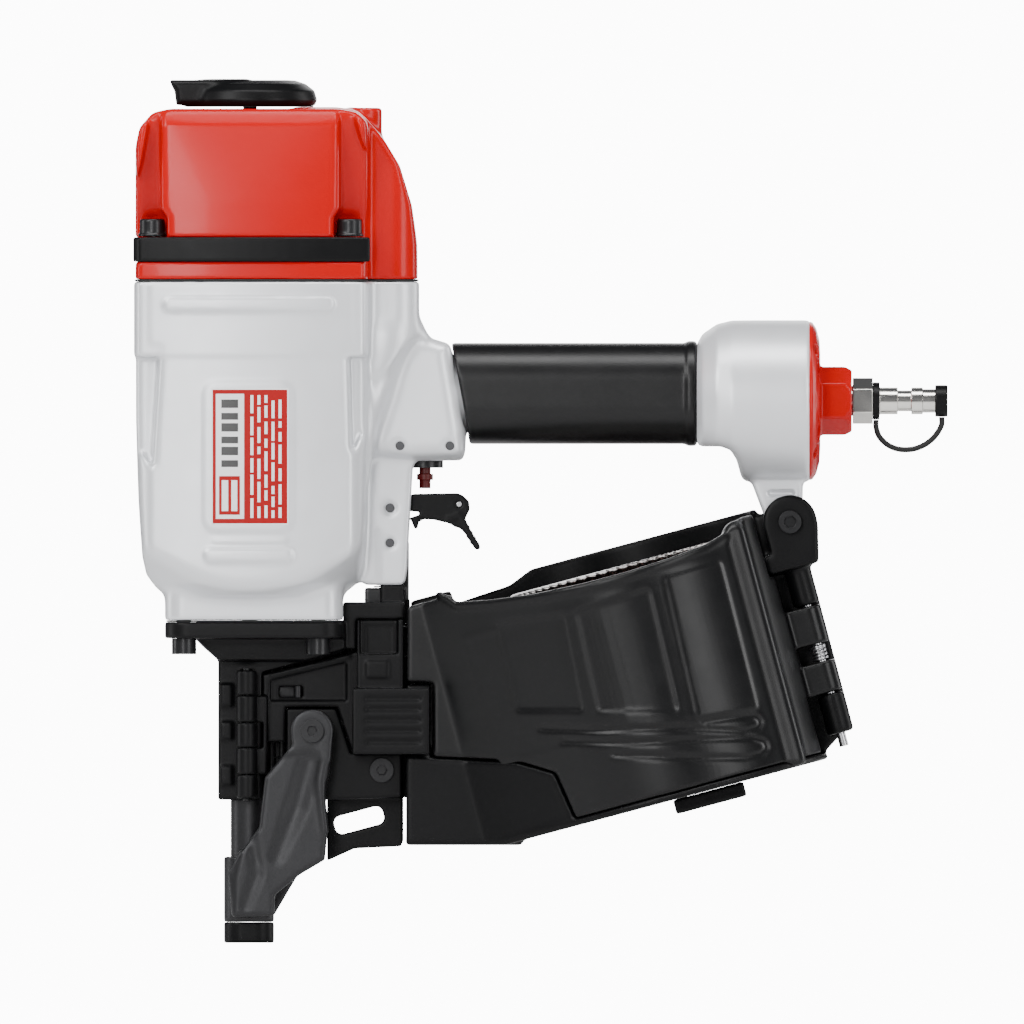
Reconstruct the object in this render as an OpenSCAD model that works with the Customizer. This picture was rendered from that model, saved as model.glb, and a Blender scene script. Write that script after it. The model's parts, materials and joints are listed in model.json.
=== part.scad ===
/* [Body] */
// Half width of the cast body across the tool
body_half_y = 47; // [45:0.5:50]
// Radius of the bore in the body that holds the cylinder sleeve and air
body_bore_r = 41; // [38:0.5:42]
// Height of the joint between body and cylinder cap
cap_joint_z = 291; // [288:1:294]

/* [Cylinder and driver] */
// Inner radius of the cylinder sleeve
sleeve_r = 27.5; // [26:0.5:29]
// Travel of the piston and driver blade
piston_stroke = 114; // [100:1:114]
// Radius of the driver blade
blade_r = 3.4; // [3:0.1:3.6]

/* [Handle] */
// Radius of the cast handle core under the grip
handle_core_r = 16; // [14:0.5:17]
// Height of the handle axis
handle_z = 241.8; // [238:0.2:245]
// Height of the air chamber and plug axis
plug_z = 238.5; // [236:0.5:240]
// Radius of the plug's stem
plug_r = 5.9; // [5.5:0.1:6.2]

/* [Magazine] */
// Tilt of the magazine and of the nail strip
tilt = 15; // [14:0.5:16]
// Outer radius of the magazine canister
drum_r = 66; // [64:0.5:67]
// Wall thickness of the magazine
drum_t = 3; // [2.4:0.2:3.4]
// Outer radius of the coil of nails
coil_r = 52; // [40:1:55]

/* [Nails] */
// Length of a nail
nail_len = 57; // [50:1:57]
// Radius of a nail's shank
nail_r = 1.4; // [1.1:0.1:1.5]
// Spacing of the nails along the strip
nail_pitch = 4.4; // [4.2:0.1:5]

/* [Contact foot] */
// Travel of the contact foot
foot_travel = 18; // [12:1:18]

/* [Hidden] */
$fn = 64;
run = 0.06;                 // radial clearance of a running fit
seat = 0.02;                // clearance of pieces that sit on each other
drum_u = 200;               // canister axis along the tilted frame
drum_w0 = 12.5;             // underside of the magazine
drum_w1 = 127;              // top rim of the fixed half
rim_w = 114.5;              // low middle of the cover's rim
neck_y = 18.6;              // half width of the magazine neck
neck_u = 112;               // where the neck starts to widen
mag_x0 = 68.5;              // upright front edge of the magazine
mag_z0 = 43;                // flat underside of the neck
head_w = 117.5;             // plane of the nail heads
hinge_u = 275;              // magazine cover hinge
hinge_y = -4;
ear_u = 277.4;              // rear ear of the magazine
ear_w = 117.4;
nail_z0 = head_w / cos(tilt) - nail_len;   // nail point height on the driver axis
tray_w = head_w - nail_len * cos(tilt);    // top of the nail tray
coil_wall = 1.3;            // wall with the weight of the nails in one turn of the coil
trigger_x = 61.6;
trigger_z = 191.4;
lever_x = 92;
lever_z = 193;
valve_x = 77;
cap_screw_x = [-43, 43.8];
cap_screw_y = 36.6;
flange_corner = 10;
crown_r = 354;              // crown of the barrel's near and far sides
nose_screw_x = [-29, 30];
nose_screw_y = 24;
flange_z = 134;             // underside of the nose flange
door_x = -1.5;              // door hinge axis
door_y = -14;
door_face = -9.6;           // outer face of the door
door_back = -3.9;
eye_x = 27.3;               // bolt eye of the contact foot
eye_z = 93.3;
sleeve_z = 158;             // seat of the cylinder sleeve in the body
piston_z = 286;             // underside of the piston at the top of its stroke
nose_end_z = foot_travel + 2;   // lower end of the nose tube
nail_lane = 16;             // length of the close part of the nose bore
deflector_z = 368.4;
tether_r = 1.25;
// Route of the dust cap's tether, from its ring to the cap
tether_route = [
    [275.5, 230.2], [275.5, 227], [276.8, 223], [280, 219.6], [284, 217.6], [288.5, 217],
    [293, 217.6], [297.5, 219.6], [301.4, 223], [304.2, 227.6], [304.4, 231.4]
];

// ---------- helpers ----------
module box(x, y, z) {
    translate([x[0], y[0], z[0]]) cube([x[1] - x[0], y[1] - y[0], z[1] - z[0]]);
}
module cyl_x(x, r, y = 0, z = 0) {
    translate([x[0], y, z]) rotate([0, 90, 0]) cylinder(r = r, h = x[1] - x[0]);
}
module cyl_y(y, r, x = 0, z = 0) {
    translate([x, y[1], z]) rotate([90, 0, 0]) cylinder(r = r, h = y[1] - y[0]);
}
module cyl_z(z, r, x = 0, y = 0) {
    translate([x, y, z[0]]) cylinder(r = r, h = z[1] - z[0]);
}
module tube_z(z, r_out, r_in, x = 0, y = 0) {
    difference() {
        cyl_z(z, r_out, x, y);
        cyl_z([z[0] - 1, z[1] + 1], r_in, x, y);
    }
}
module tube_x(x, r_out, r_in, y = 0, z = 0) {
    difference() {
        cyl_x(x, r_out, y, z);
        cyl_x([x[0] - 1, x[1] + 1], r_in, y, z);
    }
}
// A side outline in X and Z, given thickness across the tool
module side(y) {
    translate([0, y[1], 0]) rotate([90, 0, 0]) linear_extrude(y[1] - y[0]) children();
}
// A cross section in Y and Z, run along X
module section(x) {
    translate([x[0], 0, 0]) rotate([90, 0, 90]) linear_extrude(x[1] - x[0]) children();
}
module round_rect(a, b, r) {
    translate([a[0] + r, a[1]]) square([b[0] - a[0] - 2 * r, b[1] - a[1]]);
    translate([a[0], a[1] + r]) square([b[0] - a[0], b[1] - a[1] - 2 * r]);
    for (x = [a[0] + r, b[0] - r], y = [a[1] + r, b[1] - r]) translate([x, y]) circle(r);
}
// Plan of the barrel and cap: slightly crowned sides and rounded corners
module crowned(grow, corner, right = 52) {
    intersection() {
        round_rect([-51 - grow, -body_half_y - grow], [right, body_half_y + grow], corner + grow);
        translate([0.5, crown_r - body_half_y]) circle(crown_r + grow);
        translate([0.5, body_half_y - crown_r]) circle(crown_r + grow);
    }
}
// The magazine's own frame: x runs along the strip, z up the canister
module tilted() {
    rotate([0, -tilt, 0]) children();
}
module hex_x(x, across_flats, y, z) {
    translate([x[0], y, z]) rotate([0, 90, 0])
        cylinder(r = across_flats / 2 / cos(30), h = x[1] - x[0], $fn = 6);
}
// Socket screw pointing down from its head
module socket_screw(r, head_r, head_h, length, socket_af) {
    difference() {
        union() {
            cylinder(r = head_r, h = head_h);
            translate([0, 0, -length]) cylinder(r = r, h = length + 0.01);
        }
        translate([0, 0, head_h * 0.45])
            cylinder(r = socket_af / 2 / cos(30), h = head_h, $fn = 6);
    }
}
module o_ring(r, wire) {
    rotate_extrude() translate([r, 0]) circle(wire, $fn = 24);
}
module spring_z(z, r, wire, x = 0, y = 0) {
    tube_z(z, r + wire, r - wire, x, y);
}

// ---------- body ----------
module barrel_outline() {
    polygon([
        [-51, cap_joint_z], [-51, 261], [-49.7, 230], [-48, 195], [-45, 168.5], [-43, 162],
        [-37.4, 154.4], [-37.4, 142], [41, 142], [41, 154], [46, 164], [50, 185], [52, 228],
        [52, cap_joint_z]
    ]);
}
module barrel() {
    intersection() {
        translate([0, 0, 142]) linear_extrude(cap_joint_z - 142) crowned(0, 30);
        side([-50, 50]) barrel_outline();
        section([-60, 60]) polygon([
            [-34, 142], [34, 142], [34, 154], [40, 162], [body_half_y, 180],
            [body_half_y, 292], [-body_half_y, 292], [-body_half_y, 180], [-40, 162], [-34, 154]
        ]);
    }
}
module body_flange() {
    translate([0, 0, 261]) linear_extrude(cap_joint_z - 261) crowned(0, flange_corner);
    translate([0, 0, 268]) linear_extrude(cap_joint_z - 268)
        round_rect([20, -27], [75, 27], 12);
    side([-20, 20]) polygon([
        [45, 218], [94.5, 226], [88.2, 263.6], [80, 266], [75, 270], [45, 275]
    ]);
}
module rear_chamber() {
    translate([0, 0, plug_z]) rotate([0, 90, 0]) rotate_extrude() polygon([
        [0, 196.7], [25, 196.7], [33.5, 205], [35.5, 213], [35.5, 245.5], [0, 245.5]
    ]);
}
module trigger_housing() {
    side([-13, 13]) polygon([
        [46, 214], [50, 158.5], [51, 157.5], [66.8, 157.5], [67.8, 158.5], [71.7, 210],
        [71.7, 212.5], [93.5, 212.5], [94.8, 226], [46, 230]
    ]);
}
module main_body() {
    color("lightgray") difference() {
        union() {
            barrel();
            body_flange();
            trigger_housing();
            cyl_x([60, 200], handle_core_r, 0, handle_z);
            rear_chamber();
            box([219, 243], [-9, 9], [185.2, 215]);
            cyl_y([-9, 9], 9, 237.6, 185.2);
        }
        cyl_z([186, cap_joint_z + 1], body_bore_r);
        cyl_z([sleeve_z, 190], sleeve_r + 3.5 + run);
        cyl_z([141, 160], 12);
        box([50, 71], [-22, 22], [272, cap_joint_z + 1]);
        for (x = cap_screw_x, y = [-1, 1]) cyl_z([270, 295], 3.02, x, y * cap_screw_y);
        for (x = nose_screw_x, y = [-1, 1]) cyl_z([141, 154.5], 3.02, x, y * nose_screw_y);
        cyl_x([38, 215], 11, 0, handle_z);
        cyl_x([212, 246], 31, 0, plug_z);
        // trigger channel, arm notch and valve bore
        box([50.2, 100], [-8, 8], [150, 203.5]);
        box([53, 66], [0, 14], [150, 168]);
        cyl_z([200, 242], 8, valve_x);
        for (p = [[66, 218.7], [88, 218.7], [trigger_x, 176]]) cyl_y([-20, 20], 1.52, p[0], p[1]);
        cyl_y([-20, 20], 2.02, trigger_x, trigger_z);
        cyl_y([-20, 20], 3.1, 237.6, 185.2);
    }
}
module name_plate() {
    color("firebrick") intersection() {
        difference() {
            translate([0, 0, 180]) linear_extrude(70) crowned(0.6, 30);
            translate([0, 0, 170]) linear_extrude(90) crowned(seat, 30);
        }
        side([-60, 0]) round_rect([-17, 184], [17, 244], 4);
    }
}
module handle_grip() {
    color("black") difference() {
        intersection() {
            section([84, 196.6]) round_rect([-19.5, 219.5], [19.5, 264], 17);
            side([-30, 30]) polygon([[87.5, 270], [98, 210], [197, 210], [197, 270]]);
        }
        cyl_x([80, 200], handle_core_r + seat, 0, handle_z);
        side([-30, 30]) polygon([[60, 275], [87.5, 270], [94.4, 230.6], [96.2, 220], [60, 200]]);
    }
}

// ---------- cylinder cap and exhaust ----------
module cap_outline() {
    polygon([
        [-51, 292], [-51, 352], [-48, 361], [-42, 366], [-36, 367.8], [40, 367.8], [57, 364],
        [61, 354], [66, 342], [71.3, 324.7], [73.9, 307], [74.4, 292]
    ]);
}
module cap_shell() {
    intersection() {
        union() {
            translate([0, 0, 292]) linear_extrude(80) crowned(0, flange_corner);
            translate([0, 0, 292]) linear_extrude(80) round_rect([20, -27], [75, 27], 12);
        }
        side([-50, 50]) cap_outline();
        section([-60, 80]) polygon([
            [-body_half_y, 290], [body_half_y, 290], [body_half_y, 320], [41, 362], [35, 368],
            [-35, 368], [-41, 362], [-body_half_y, 320]
        ]);
    }
}
module cylinder_cap() {
    color("red") difference() {
        cap_shell();
        cyl_z([290, 352], body_bore_r);
        cyl_z([340, 370], 14);
        box([44, 68], [-20, 20], [290, 335]);
        for (x = cap_screw_x, y = [-1, 1]) {
            cyl_z([290, 370], 3.1, x, y * cap_screw_y);
            cyl_z([301.9, 375], 6.4, x, y * cap_screw_y);
            translate([x + sign(x) * 8, y * (cap_screw_y + 8), 341.9])
                cube([16, 16, 80], center = true);
        }
        difference() {
            box([-60, 53], [-60, 60], [299.5, 310.7]);
            translate([0, 0, 290]) linear_extrude(30) crowned(-1.8, flange_corner, 70);
        }
    }
}
module cap_gasket() {
    color("dimgray") difference() {
        translate([0, 0, cap_joint_z + seat]) linear_extrude(0.9) crowned(-0.4, flange_corner, 51.6);
        cyl_z([290, 293], body_bore_r + 0.5);
        for (x = cap_screw_x, y = [-1, 1]) cyl_z([290, 293], 3.1, x, y * cap_screw_y);
    }
}
module cap_band() {
    color("black") difference() {
        translate([0, 0, 299.6]) linear_extrude(11) crowned(0.4, flange_corner, 70);
        box([52.9, 90], [-60, 60], [290, 320]);
        translate([0, 0, 290]) linear_extrude(30) crowned(-1.7, flange_corner, 71);
    }
}
module cap_screws() {
    color("black") for (x = cap_screw_x, y = [-1, 1])
        translate([x, y * cap_screw_y, 302]) socket_screw(3, 5.2, 14, 30, 6);
}
module exhaust_gasket() {
    color("dimgray") tube_z([367.8 + seat, 368.3], 28, 14.2);
}
module exhaust_deflector() {
    color("black") difference() {
        union() {
            cyl_z([deflector_z, 375.5], 29.5);
            cyl_z([375, 379.7], 26);
            side([-20, 20]) polygon([
                [-15, deflector_z], [-32.6, deflector_z], [-33.4, 375], [-35.2, 378.6],
                [-35.2, 379.7], [-15, 379.7]
            ]);
        }
        cyl_z([360, 373], 24.5);
        cyl_z([360, 385], 3.1);
        cyl_z([377.4, 385], 6.2);
        box([-40, -15], [-16, 16], [370, 375]);
    }
}
module deflector_screw() {
    color("dimgray") difference() {
        translate([0, 0, 377.45]) socket_screw(3, 5.8, 2, 12, 4);
        cyl_z([200, 365], 4);
    }
}

// ---------- driver ----------
module cylinder_sleeve() {
    color("silver") difference() {
        union() {
            cyl_z([sleeve_z + seat, 312], sleeve_r + 3.5);
            cyl_z([236, 248], body_bore_r - run);
        }
        cyl_z([150, 320], sleeve_r);
        for (z = [239, 245]) translate([0, 0, z]) o_ring(body_bore_r - 0.9, 1.5);
        for (a = [0:45:315]) rotate(a) cyl_x([20, 40], 2, 0, 195);
    }
}
module sleeve_o_rings() {
    color("black") for (z = [239, 245]) translate([0, 0, z]) o_ring(body_bore_r - 1.5, 0.85);
}
module bumper() {
    color("black") difference() {
        cyl_z([sleeve_z + seat, piston_z - piston_stroke - 0.2], sleeve_r - 0.1);
        cyl_z([150, 180], blade_r + 1.6);
    }
}
module piston() {
    color("silver") difference() {
        union() {
            cyl_z([piston_z + 4.6, piston_z + 19], sleeve_r - run);
            cyl_z([piston_z, piston_z + 5], 12);
        }
        translate([0, 0, piston_z + 12]) o_ring(sleeve_r - 1, 1.6);
        cyl_z([piston_z + 10, piston_z + 24], 20);
        cyl_z([piston_z - 6, piston_z + 6], blade_r + seat);
    }
}
module piston_o_ring() {
    color("black") translate([0, 0, piston_z + 12]) o_ring(sleeve_r - 1.5, 1);
}
module driver_blade() {
    color("silver") cyl_z([123, piston_z + 5.5], blade_r);
}
module head_valve() {
    color("dimgray") difference() {
        union() {
            cyl_z([312.2, 324], sleeve_r + 3.4);
            cyl_z([318, 328], body_bore_r - run);
        }
        cyl_z([310, 330], 19);
    }
}
module head_valve_spring() {
    color("silver") spring_z([328 + seat, 349.9], 35, 1.4);
}
module valve_housing() {
    color("gold") difference() {
        cyl_z([209, 238], 8 - seat, valve_x);
        cyl_z([200, 226], 2.56, valve_x);
        cyl_z([216, 226], 5, valve_x);
        for (p = [66, 88]) cyl_y([-20, 20], 1.52, p, 218.7);
    }
}
module valve_stem() {
    color("red") {
        cyl_z([200, 218], 2.5, valve_x);
        cyl_z([203.7, 206.4], 3.6, valve_x);
        cyl_z([216.1, 219], 4.9, valve_x);
    }
}
module valve_spring() {
    color("silver") spring_z([219.1, 225.95], 3.6, 0.5, valve_x);
}
module valve_roll_pins() {
    color("silver") {
        for (p = [[66, 218.7], [88, 218.7], [trigger_x, 176]]) cyl_y([-13.2, 13.2], 1.5, p[0], p[1]);
    }
}

// ---------- air inlet ----------
module end_cap() {
    color("red") difference() {
        union() {
            cyl_x([245.5 + seat, 251], 35, 0, plug_z);
            cyl_x([234, 246], 31 - seat, 0, plug_z);
            hex_x([250.5, 264.9], 26.4, 0, plug_z);
        }
        cyl_x([230, 270], 6.62, 0, plug_z);
        translate([239, 0, plug_z]) rotate([0, 90, 0]) o_ring(30.2, 1.5);
        tube_x([230, 243], 28, 12, 0, plug_z);
    }
}
module end_cap_o_ring() {
    color("black") translate([239, 0, plug_z]) rotate([0, 90, 0]) o_ring(29.8, 1);
}
module air_plug() {
    color("silver") difference() {
        union() {
            cyl_x([248, 266], 6.6, 0, plug_z);
            hex_x([265.2, 274], 17.6, 0, plug_z);
            cyl_x([273.9, 277.2], plug_r + 0.5, 0, plug_z);
            cyl_x([277.1, 285], plug_r, 0, plug_z);
            cyl_x([284.9, 291.1], plug_r - 1.3, 0, plug_z);
            cyl_x([291, 296], plug_r, 0, plug_z);
            cyl_x([295.9, 302], plug_r - 0.7, 0, plug_z);
        }
        cyl_x([240, 310], 3, 0, plug_z);
    }
}
module dust_cap_ring() {
    color("black") tube_x([274 + seat, 277], 8.2, plug_r + 0.5 + seat, 0, plug_z);
}
module dust_cap() {
    color("black") difference() {
        cyl_x([301.4, 307], 7, 0, plug_z);
        cyl_x([300, 302.6], plug_r - 0.2, 0, plug_z);
    }
}
function heading(p, i) = let(
    a = p[max(i - 1, 0)],
    b = p[min(i + 1, len(p) - 1)]) (b - a) / norm(b - a);
module dust_cap_tether() {
    sides = 8;
    n = len(tether_route);
    points = [for (i = [0:n - 1], j = [0:sides - 1]) let(
        h = heading(tether_route, i), a = 360 * j / sides)
        [tether_route[i][0] - h[1] * tether_r * cos(a), tether_r * sin(a),
         tether_route[i][1] + h[0] * tether_r * cos(a)]];
    walls = [for (i = [0:n - 2], j = [0:sides - 1]) let(k = (j + 1) % sides)
        [i * sides + j, i * sides + k, (i + 1) * sides + k, (i + 1) * sides + j]];
    first = [for (j = [sides - 1:-1:0]) j];
    last = [for (j = [0:sides - 1]) (n - 1) * sides + j];
    color("black") polyhedron(points, concat([first], walls, [last]));
}

// ---------- nose ----------
module nose_flange() {
    difference() {
        translate([0, 0, flange_z]) linear_extrude(141.2 - flange_z)
            round_rect([-37.4, -33], [41.8, 33], 10);
        for (x = nose_screw_x, y = [-1, 1]) cyl_z([110, 142], 3.1, x, y * nose_screw_y);
    }
    side([-16, 16]) polygon([
        [-24, flange_z + 0.1], [-14, 124.5], [24, 124.5], [41.8, 129.4], [41.8, flange_z + 0.1]
    ]);
    // wall over the door, in front of the nail heads
    side([-9, -4.2]) polygon([[4, 118.7], [41, 127.8], [41, flange_z], [4, flange_z]]);
}
// Room for the nails, their heads and the strip on its way to the driver
module strip_space() {
    tilted() box([-10, 130], [-1.8, 1.8], [30, head_w + 0.6]);
    tilted() box([-10, 130], [-3.8, 3.8], [head_w - 6, head_w + 1.3]);
}
module nose_body() {
    color("dimgray") difference() {
        union() {
            nose_flange();
            box([-14, 5.3], [-9, 9], [63, 126]);
            cyl_z([nose_end_z, 64], 8.5);
            side([3.9, 8]) polygon([
                [4, 126], [4, 56], [33.6, 62], [33.6, 84], [67.8, 84], [67.8, 134], [44, 134]
            ]);
            box([50, 66], [7.9, 11.6], [69, 96]);
            // feed cylinder and its web
            box([14.5, 50], [7.5, 16], [100, 116]);
            cyl_x([14.5, 50], 11, 24, 108);
            // bracket for the magazine
            box([64, 67.8], [3.9, 15.4], [95, 126]);
            box([66, 88], [12, 15.4], [95, 126]);
            // catch over the latch
            box([41, 47], [-14, 8], [129.4, 150]);
            box([42, 68], [-14, -11.2], [142.6, 150]);
        }
        cyl_z([nose_end_z - 1, 150], 4);
        cyl_z([nose_end_z + nail_lane, 150], 4.3);
        intersection() {
            strip_space();
            box([0, 70], [-10, 10], [30, 140]);
        }
        // slot for the feed pawl
        box([7, 22], [-2, 16.1], [104.5, 111.5]);
        cyl_x([18, 51], 8 + run, 24, 108);
        cyl_x([10, 19], 3 + run, 24, 108);
        cyl_y([0, 30], 2.02, 58, 76);
        for (z = [100, 121]) cyl_y([10, 20], 2.02, 79, z);
    }
    color("dimgray") for (z = [[63.5, 74], [86, 97], [109, 120]]) difference() {
        union() {
            cyl_z(z, 4.5, door_x, door_y);
            box([-4, 1], [-13, -8.9], z);
        }
        cyl_z([60, 125], 1.52, door_x, door_y);
    }
}
module nose_gasket() {
    color("black") difference() {
        translate([0, 0, 141.2 + seat]) linear_extrude(0.76) round_rect([-36.8, -32], [41, 32], 9);
        cyl_z([140, 143], 12);
        for (x = nose_screw_x, y = [-1, 1]) cyl_z([140, 143], 3.1, x, y * nose_screw_y);
    }
}
module nose_screws() {
    color("black") for (x = nose_screw_x, y = [-1, 1])
        translate([x, y * nose_screw_y, flange_z - seat]) mirror([0, 0, 1])
            socket_screw(3, 5.4, 7, 19, 5);
}
module nail_guide_plate() {
    color("dimgray") difference() {
        union() {
            side([4.9, 7.8]) polygon([
                [33.9, 36], [46, 41.5], [66.5, 42.5], [67.5, 45], [67.5, 83.8], [33.9, 83.8]
            ]);
            side([-7.8, -4.4]) polygon([
                [16, 62.5], [66.9, 64], [66.9, 83.4], [44.5, 83.4], [38, 103.2], [16, 103.2]
            ]);
            box([40, 66.9], [-7.8, 7.8], [64, 68]);
        }
        side([0, 12]) translate([48, 54]) rotate(tilt)
            round_rect([-11, -4], [11, 4], 3);
        cyl_y([-12, 12], 2.1, 58, 76);
    }
}

// ---------- door and latch ----------
module door() {
    color("dimgray") difference() {
        union() {
            side([door_face, door_back]) polygon([
                [5.6, 88.5], [5.6, 118], [66.4, 133], [66.4, 84], [45, 84], [38.5, 103.8],
                [15.5, 103.8], [15.5, 88.5]
            ]);
            for (z = [[97.2, 108.8], [74.2, 85.8]]) {
                cyl_z(z, 4.5, door_x, door_y);
                box([0, 7.6], [-12.4, -9.2], z);
            }
            box([5.6, 7.6], [-12.4, -9.2], [74.2, 108.8]);
            box([55.6, 58.4], [-13, door_face + 0.1], [96.3, 98.2]);
        }
        side([door_face - 1, door_face + 1.2]) polygon([
            [9, 106.5], [9, 115.6], [42.5, 123.6], [42.5, 106.5]
        ]);
        cyl_z([60, 125], 1.56, door_x, door_y);
        box([12.6, 23.4], [-8.1, -3], [107.9, 113.1]);
        cyl_z([105, 116], 1.06, 21, -6.2);
    }
}
module door_hinge_pin() {
    color("silver") cyl_z([62.5, 121], 1.5, door_x, door_y);
}
module latch() {
    color("dimgray") difference() {
        union() {
            box([47, 67.4], [-17, door_face - 0.1], [111, 142.3]);
            box([45, 79], [-24.5, -19.6], [83, 112]);
            box([45, 67.4], [-19.7, door_face - 0.1], [83, 112]);
        }
        box([51, 63.5], [-18, -12], [127, 140]);
        box([55, 59], [-13.5, -8], [96, 122]);
    }
}
module latch_spring() {
    color("silver") spring_z([98.3, 121.9], 1.3, 0.35, 57, -11.7);
}
module check_pawl() {
    color("silver") {
        cyl_z([108, 113], 1.8, 21, -6.2);
        cyl_z([105.2, 115.8], 1, 21, -6.2);
        box([13, 21], [-5.4, -4.4], [108.1, 112.9]);
        box([13, 14.2], [-4.5, -1.7], [108.1, 112.9]);
    }
}

// ---------- feed ----------
module feed_piston() {
    color("silver") difference() {
        union() {
            cyl_x([34, 40], 8, 24, 108);
            cyl_x([8, 34.5], 3, 24, 108);
            box([2, 8.5], [11.8, 27], [103, 113]);
        }
        box([1, 9], [11, 17.2], [105.4, 110.6]);
        cyl_z([100, 120], 1.3, 5, 14.5);
    }
}
module feed_pawl() {
    color("silver") {
        cyl_z([103.2, 112.8], 1.24, 5, 14.5);
        cyl_z([105.6, 110.4], 2.3, 5, 14.5);
        translate([0, 0, 105.6]) linear_extrude(4.8)
            polygon([[3.6, 13.4], [6.6, 13], [12.3, 4.4], [12.3, 1.7], [11.3, 1.7], [9, 5]]);
    }
}
module feed_spring() {
    color("silver") tube_x([40.1, 48.4], 6, 4.6, 24, 108);
}
module feed_cylinder_cap() {
    color("silver") {
        cyl_x([48.5, 50.2], 8, 24, 108);
        cyl_x([50.02, 54], 11, 24, 108);
    }
}

// ---------- magazine ----------
function tangent_angle(p, r) = let(d = norm(p)) atan2(p[1], p[0]) - acos(r / d);
module drum_plan(r, half) {
    a = tangent_angle([neck_u - drum_u, half], r);
    t = [drum_u + r * cos(a), r * sin(a)];
    translate([drum_u, 0]) circle(r);
    polygon([
        [60, -half], [neck_u, -half], [t[0], -t[1]], [drum_u, 0], t, [neck_u, half], [60, half]
    ]);
}
module drum_outer(w) {
    translate([0, 0, w[0]]) linear_extrude(w[1] - w[0]) drum_plan(drum_r, neck_y);
}
module drum_inner(w) {
    translate([0, 0, w[0]]) linear_extrude(w[1] - w[0]) drum_plan(drum_r - drum_t, neck_y - drum_t);
}
// Region of the near side below the cover's curved lower corner
module cover_cut(grow) {
    side([-80, 0]) polygon([
        [60, 62 + grow], [86, 62 + grow], [134 + grow, 46.5 + grow], [149 + grow, 37.5],
        [155 + grow, 0], [60, 0]
    ]);
}
module in_front_of_latch(grow) {
    box([60, 80 + grow], [-60, 0], [80.5 - grow, 114 + grow]);
}
module magazine_ear() {
    difference() {
        union() {
            for (y = [[-13, -9.2], [9.2, 13]]) {
                cyl_y(y, 12, ear_u, ear_w);
                box([ear_u - 12, ear_u + 12], y, [98, ear_w]);
            }
            box([261, ear_u + 12], [-13, 13], [97, 105.5]);
            box([255, ear_u - 8], [9.2, 20], [97, 124]);
        }
        translate([drum_u, 0, 0]) cyl_z([90, 130], drum_r - drum_t);
        cyl_y([-30, 30], 3.1, ear_u, ear_w);
    }
}
module magazine_body() {
    color("dimgray") difference() {
        union() {
            intersection() {
                tilted() difference() {
                    union() {
                        difference() {
                            union() {
                                drum_outer([drum_w0, drum_w1]);
                                translate([0, 0, drum_w0]) linear_extrude(3) drum_plan(drum_r + 1, neck_y);
                            }
                            drum_inner([drum_w0 + 3, drum_w1 + 1]);
                            box([50, 280], [-80, 0.3], [drum_w0 + 2.98, 140]);
                            side([-80, 80]) polygon([
                                [50, 121], [128, 121.3], [151, 122.6], [162, drum_w1],
                                [162, 140], [50, 140]
                            ]);
                        }
                        intersection() {
                            difference() {
                                drum_outer([drum_w0, 65]);
                                drum_inner([drum_w0 - 1, 70]);
                            }
                            cover_cut(0);
                        }
                    }
                    box([255, 300], [-80, 6.2], [drum_w0 + 3, 130]);
                    box([255, 300], [-80, 12], [97.4, 130]);
                }
                box([mag_x0, 300], [-80, 80], [mag_z0, 230]);
            }
            // flat floor where the neck's underside is level
            intersection() {
                tilted() drum_outer([drum_w0 - 20, 60]);
                box([mag_x0, 120], [-18.6, 18.6], [mag_z0, mag_z0 + 3]);
            }
            // fixed near strip behind the latch pad
            box([mag_x0, 79.6], [-17, -14.4], [80, 114]);
            tilted() box([107.5, 125.5], [9, neck_y], [124.5, 130]);
            tilted() magazine_ear();
            tilted() for (w = [[22, 40], [80, 97.5]]) {
                cyl_z(w, 6, hinge_u, hinge_y);
                box([hinge_u - 3, hinge_u + 6], [hinge_y, 12], w);
            }
            // web behind the hinge
            tilted() side([6.2, 12]) polygon([
                [258, drum_w0], [264.7, 14.7], [279, 24], [281, 30], [281, 97.5], [258, 97.5]
            ]);
        }
        tilted() cyl_z([10, 140], 2.02, hinge_u, hinge_y);
        tilted() cyl_z([0, 20], 2.52, drum_u);
        for (z = [100, 121]) cyl_y([10, 30], 2.1, 79, z);
        box([60, 69.5], [-12.4, 15.5], [60, 160]);
    }
}
module magazine_cover() {
    color("dimgray") intersection() {
        tilted() difference() {
            union() {
                difference() {
                    drum_outer([drum_w0 + 3.1, 125]);
                    drum_inner([0, 130]);
                    box([50, 290], [0, 80], [0, 140]);
                    box([256, 300], [-20, 5], [96.5, 130]);
                }
                for (w = [[40.5, 54.5], [62.5, 79.5]]) {
                    cyl_z(w, 6, hinge_u, hinge_y);
                    box([263, hinge_u], [-9.9, hinge_y], w);
                }
            }
            cover_cut(0.4);
            cyl_z([0, 130], 2.06, hinge_u, hinge_y);
            side([-80, -5]) polygon([
                [122, 140], [126, 121.4], [141, 118.4], [160, 116], [182, rim_w + 0.5],
                [202, rim_w + 0.4], [222, 115.8], [239, 117.4], [250, 120.4], [256, 124], [258, 140]
            ]);
            box([225, 290], [-3, 8], [0, 40.4]);
            box([264, 290], [-12, 8], [79.6, 97]);
            box([264, 290], [-12, 8], [0, 40.4]);
            difference() {
                drum_outer([48, 104]);
                linear_extrude(200) drum_plan(drum_r - 0.8, neck_y - 0.8);
                box([50, 126], [-90, 80], [0, 200]);
                box([242, 300], [-90, 80], [0, 200]);
                box([184, 188], [-90, 80], [0, 200]);
            }
        }
        difference() {
            box([mag_x0 + 0.5, 300], [-80, 80], [mag_z0, 230]);
            in_front_of_latch(0.5);
        }
    }
}
module cover_hinge_pin() {
    color("silver") tilted() cyl_z([16, 104], 2, hinge_u, hinge_y);
}
module cover_spring() {
    color("silver") tilted() tube_z([55, 62], 3.6, 2.3, hinge_u, hinge_y);
}
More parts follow.
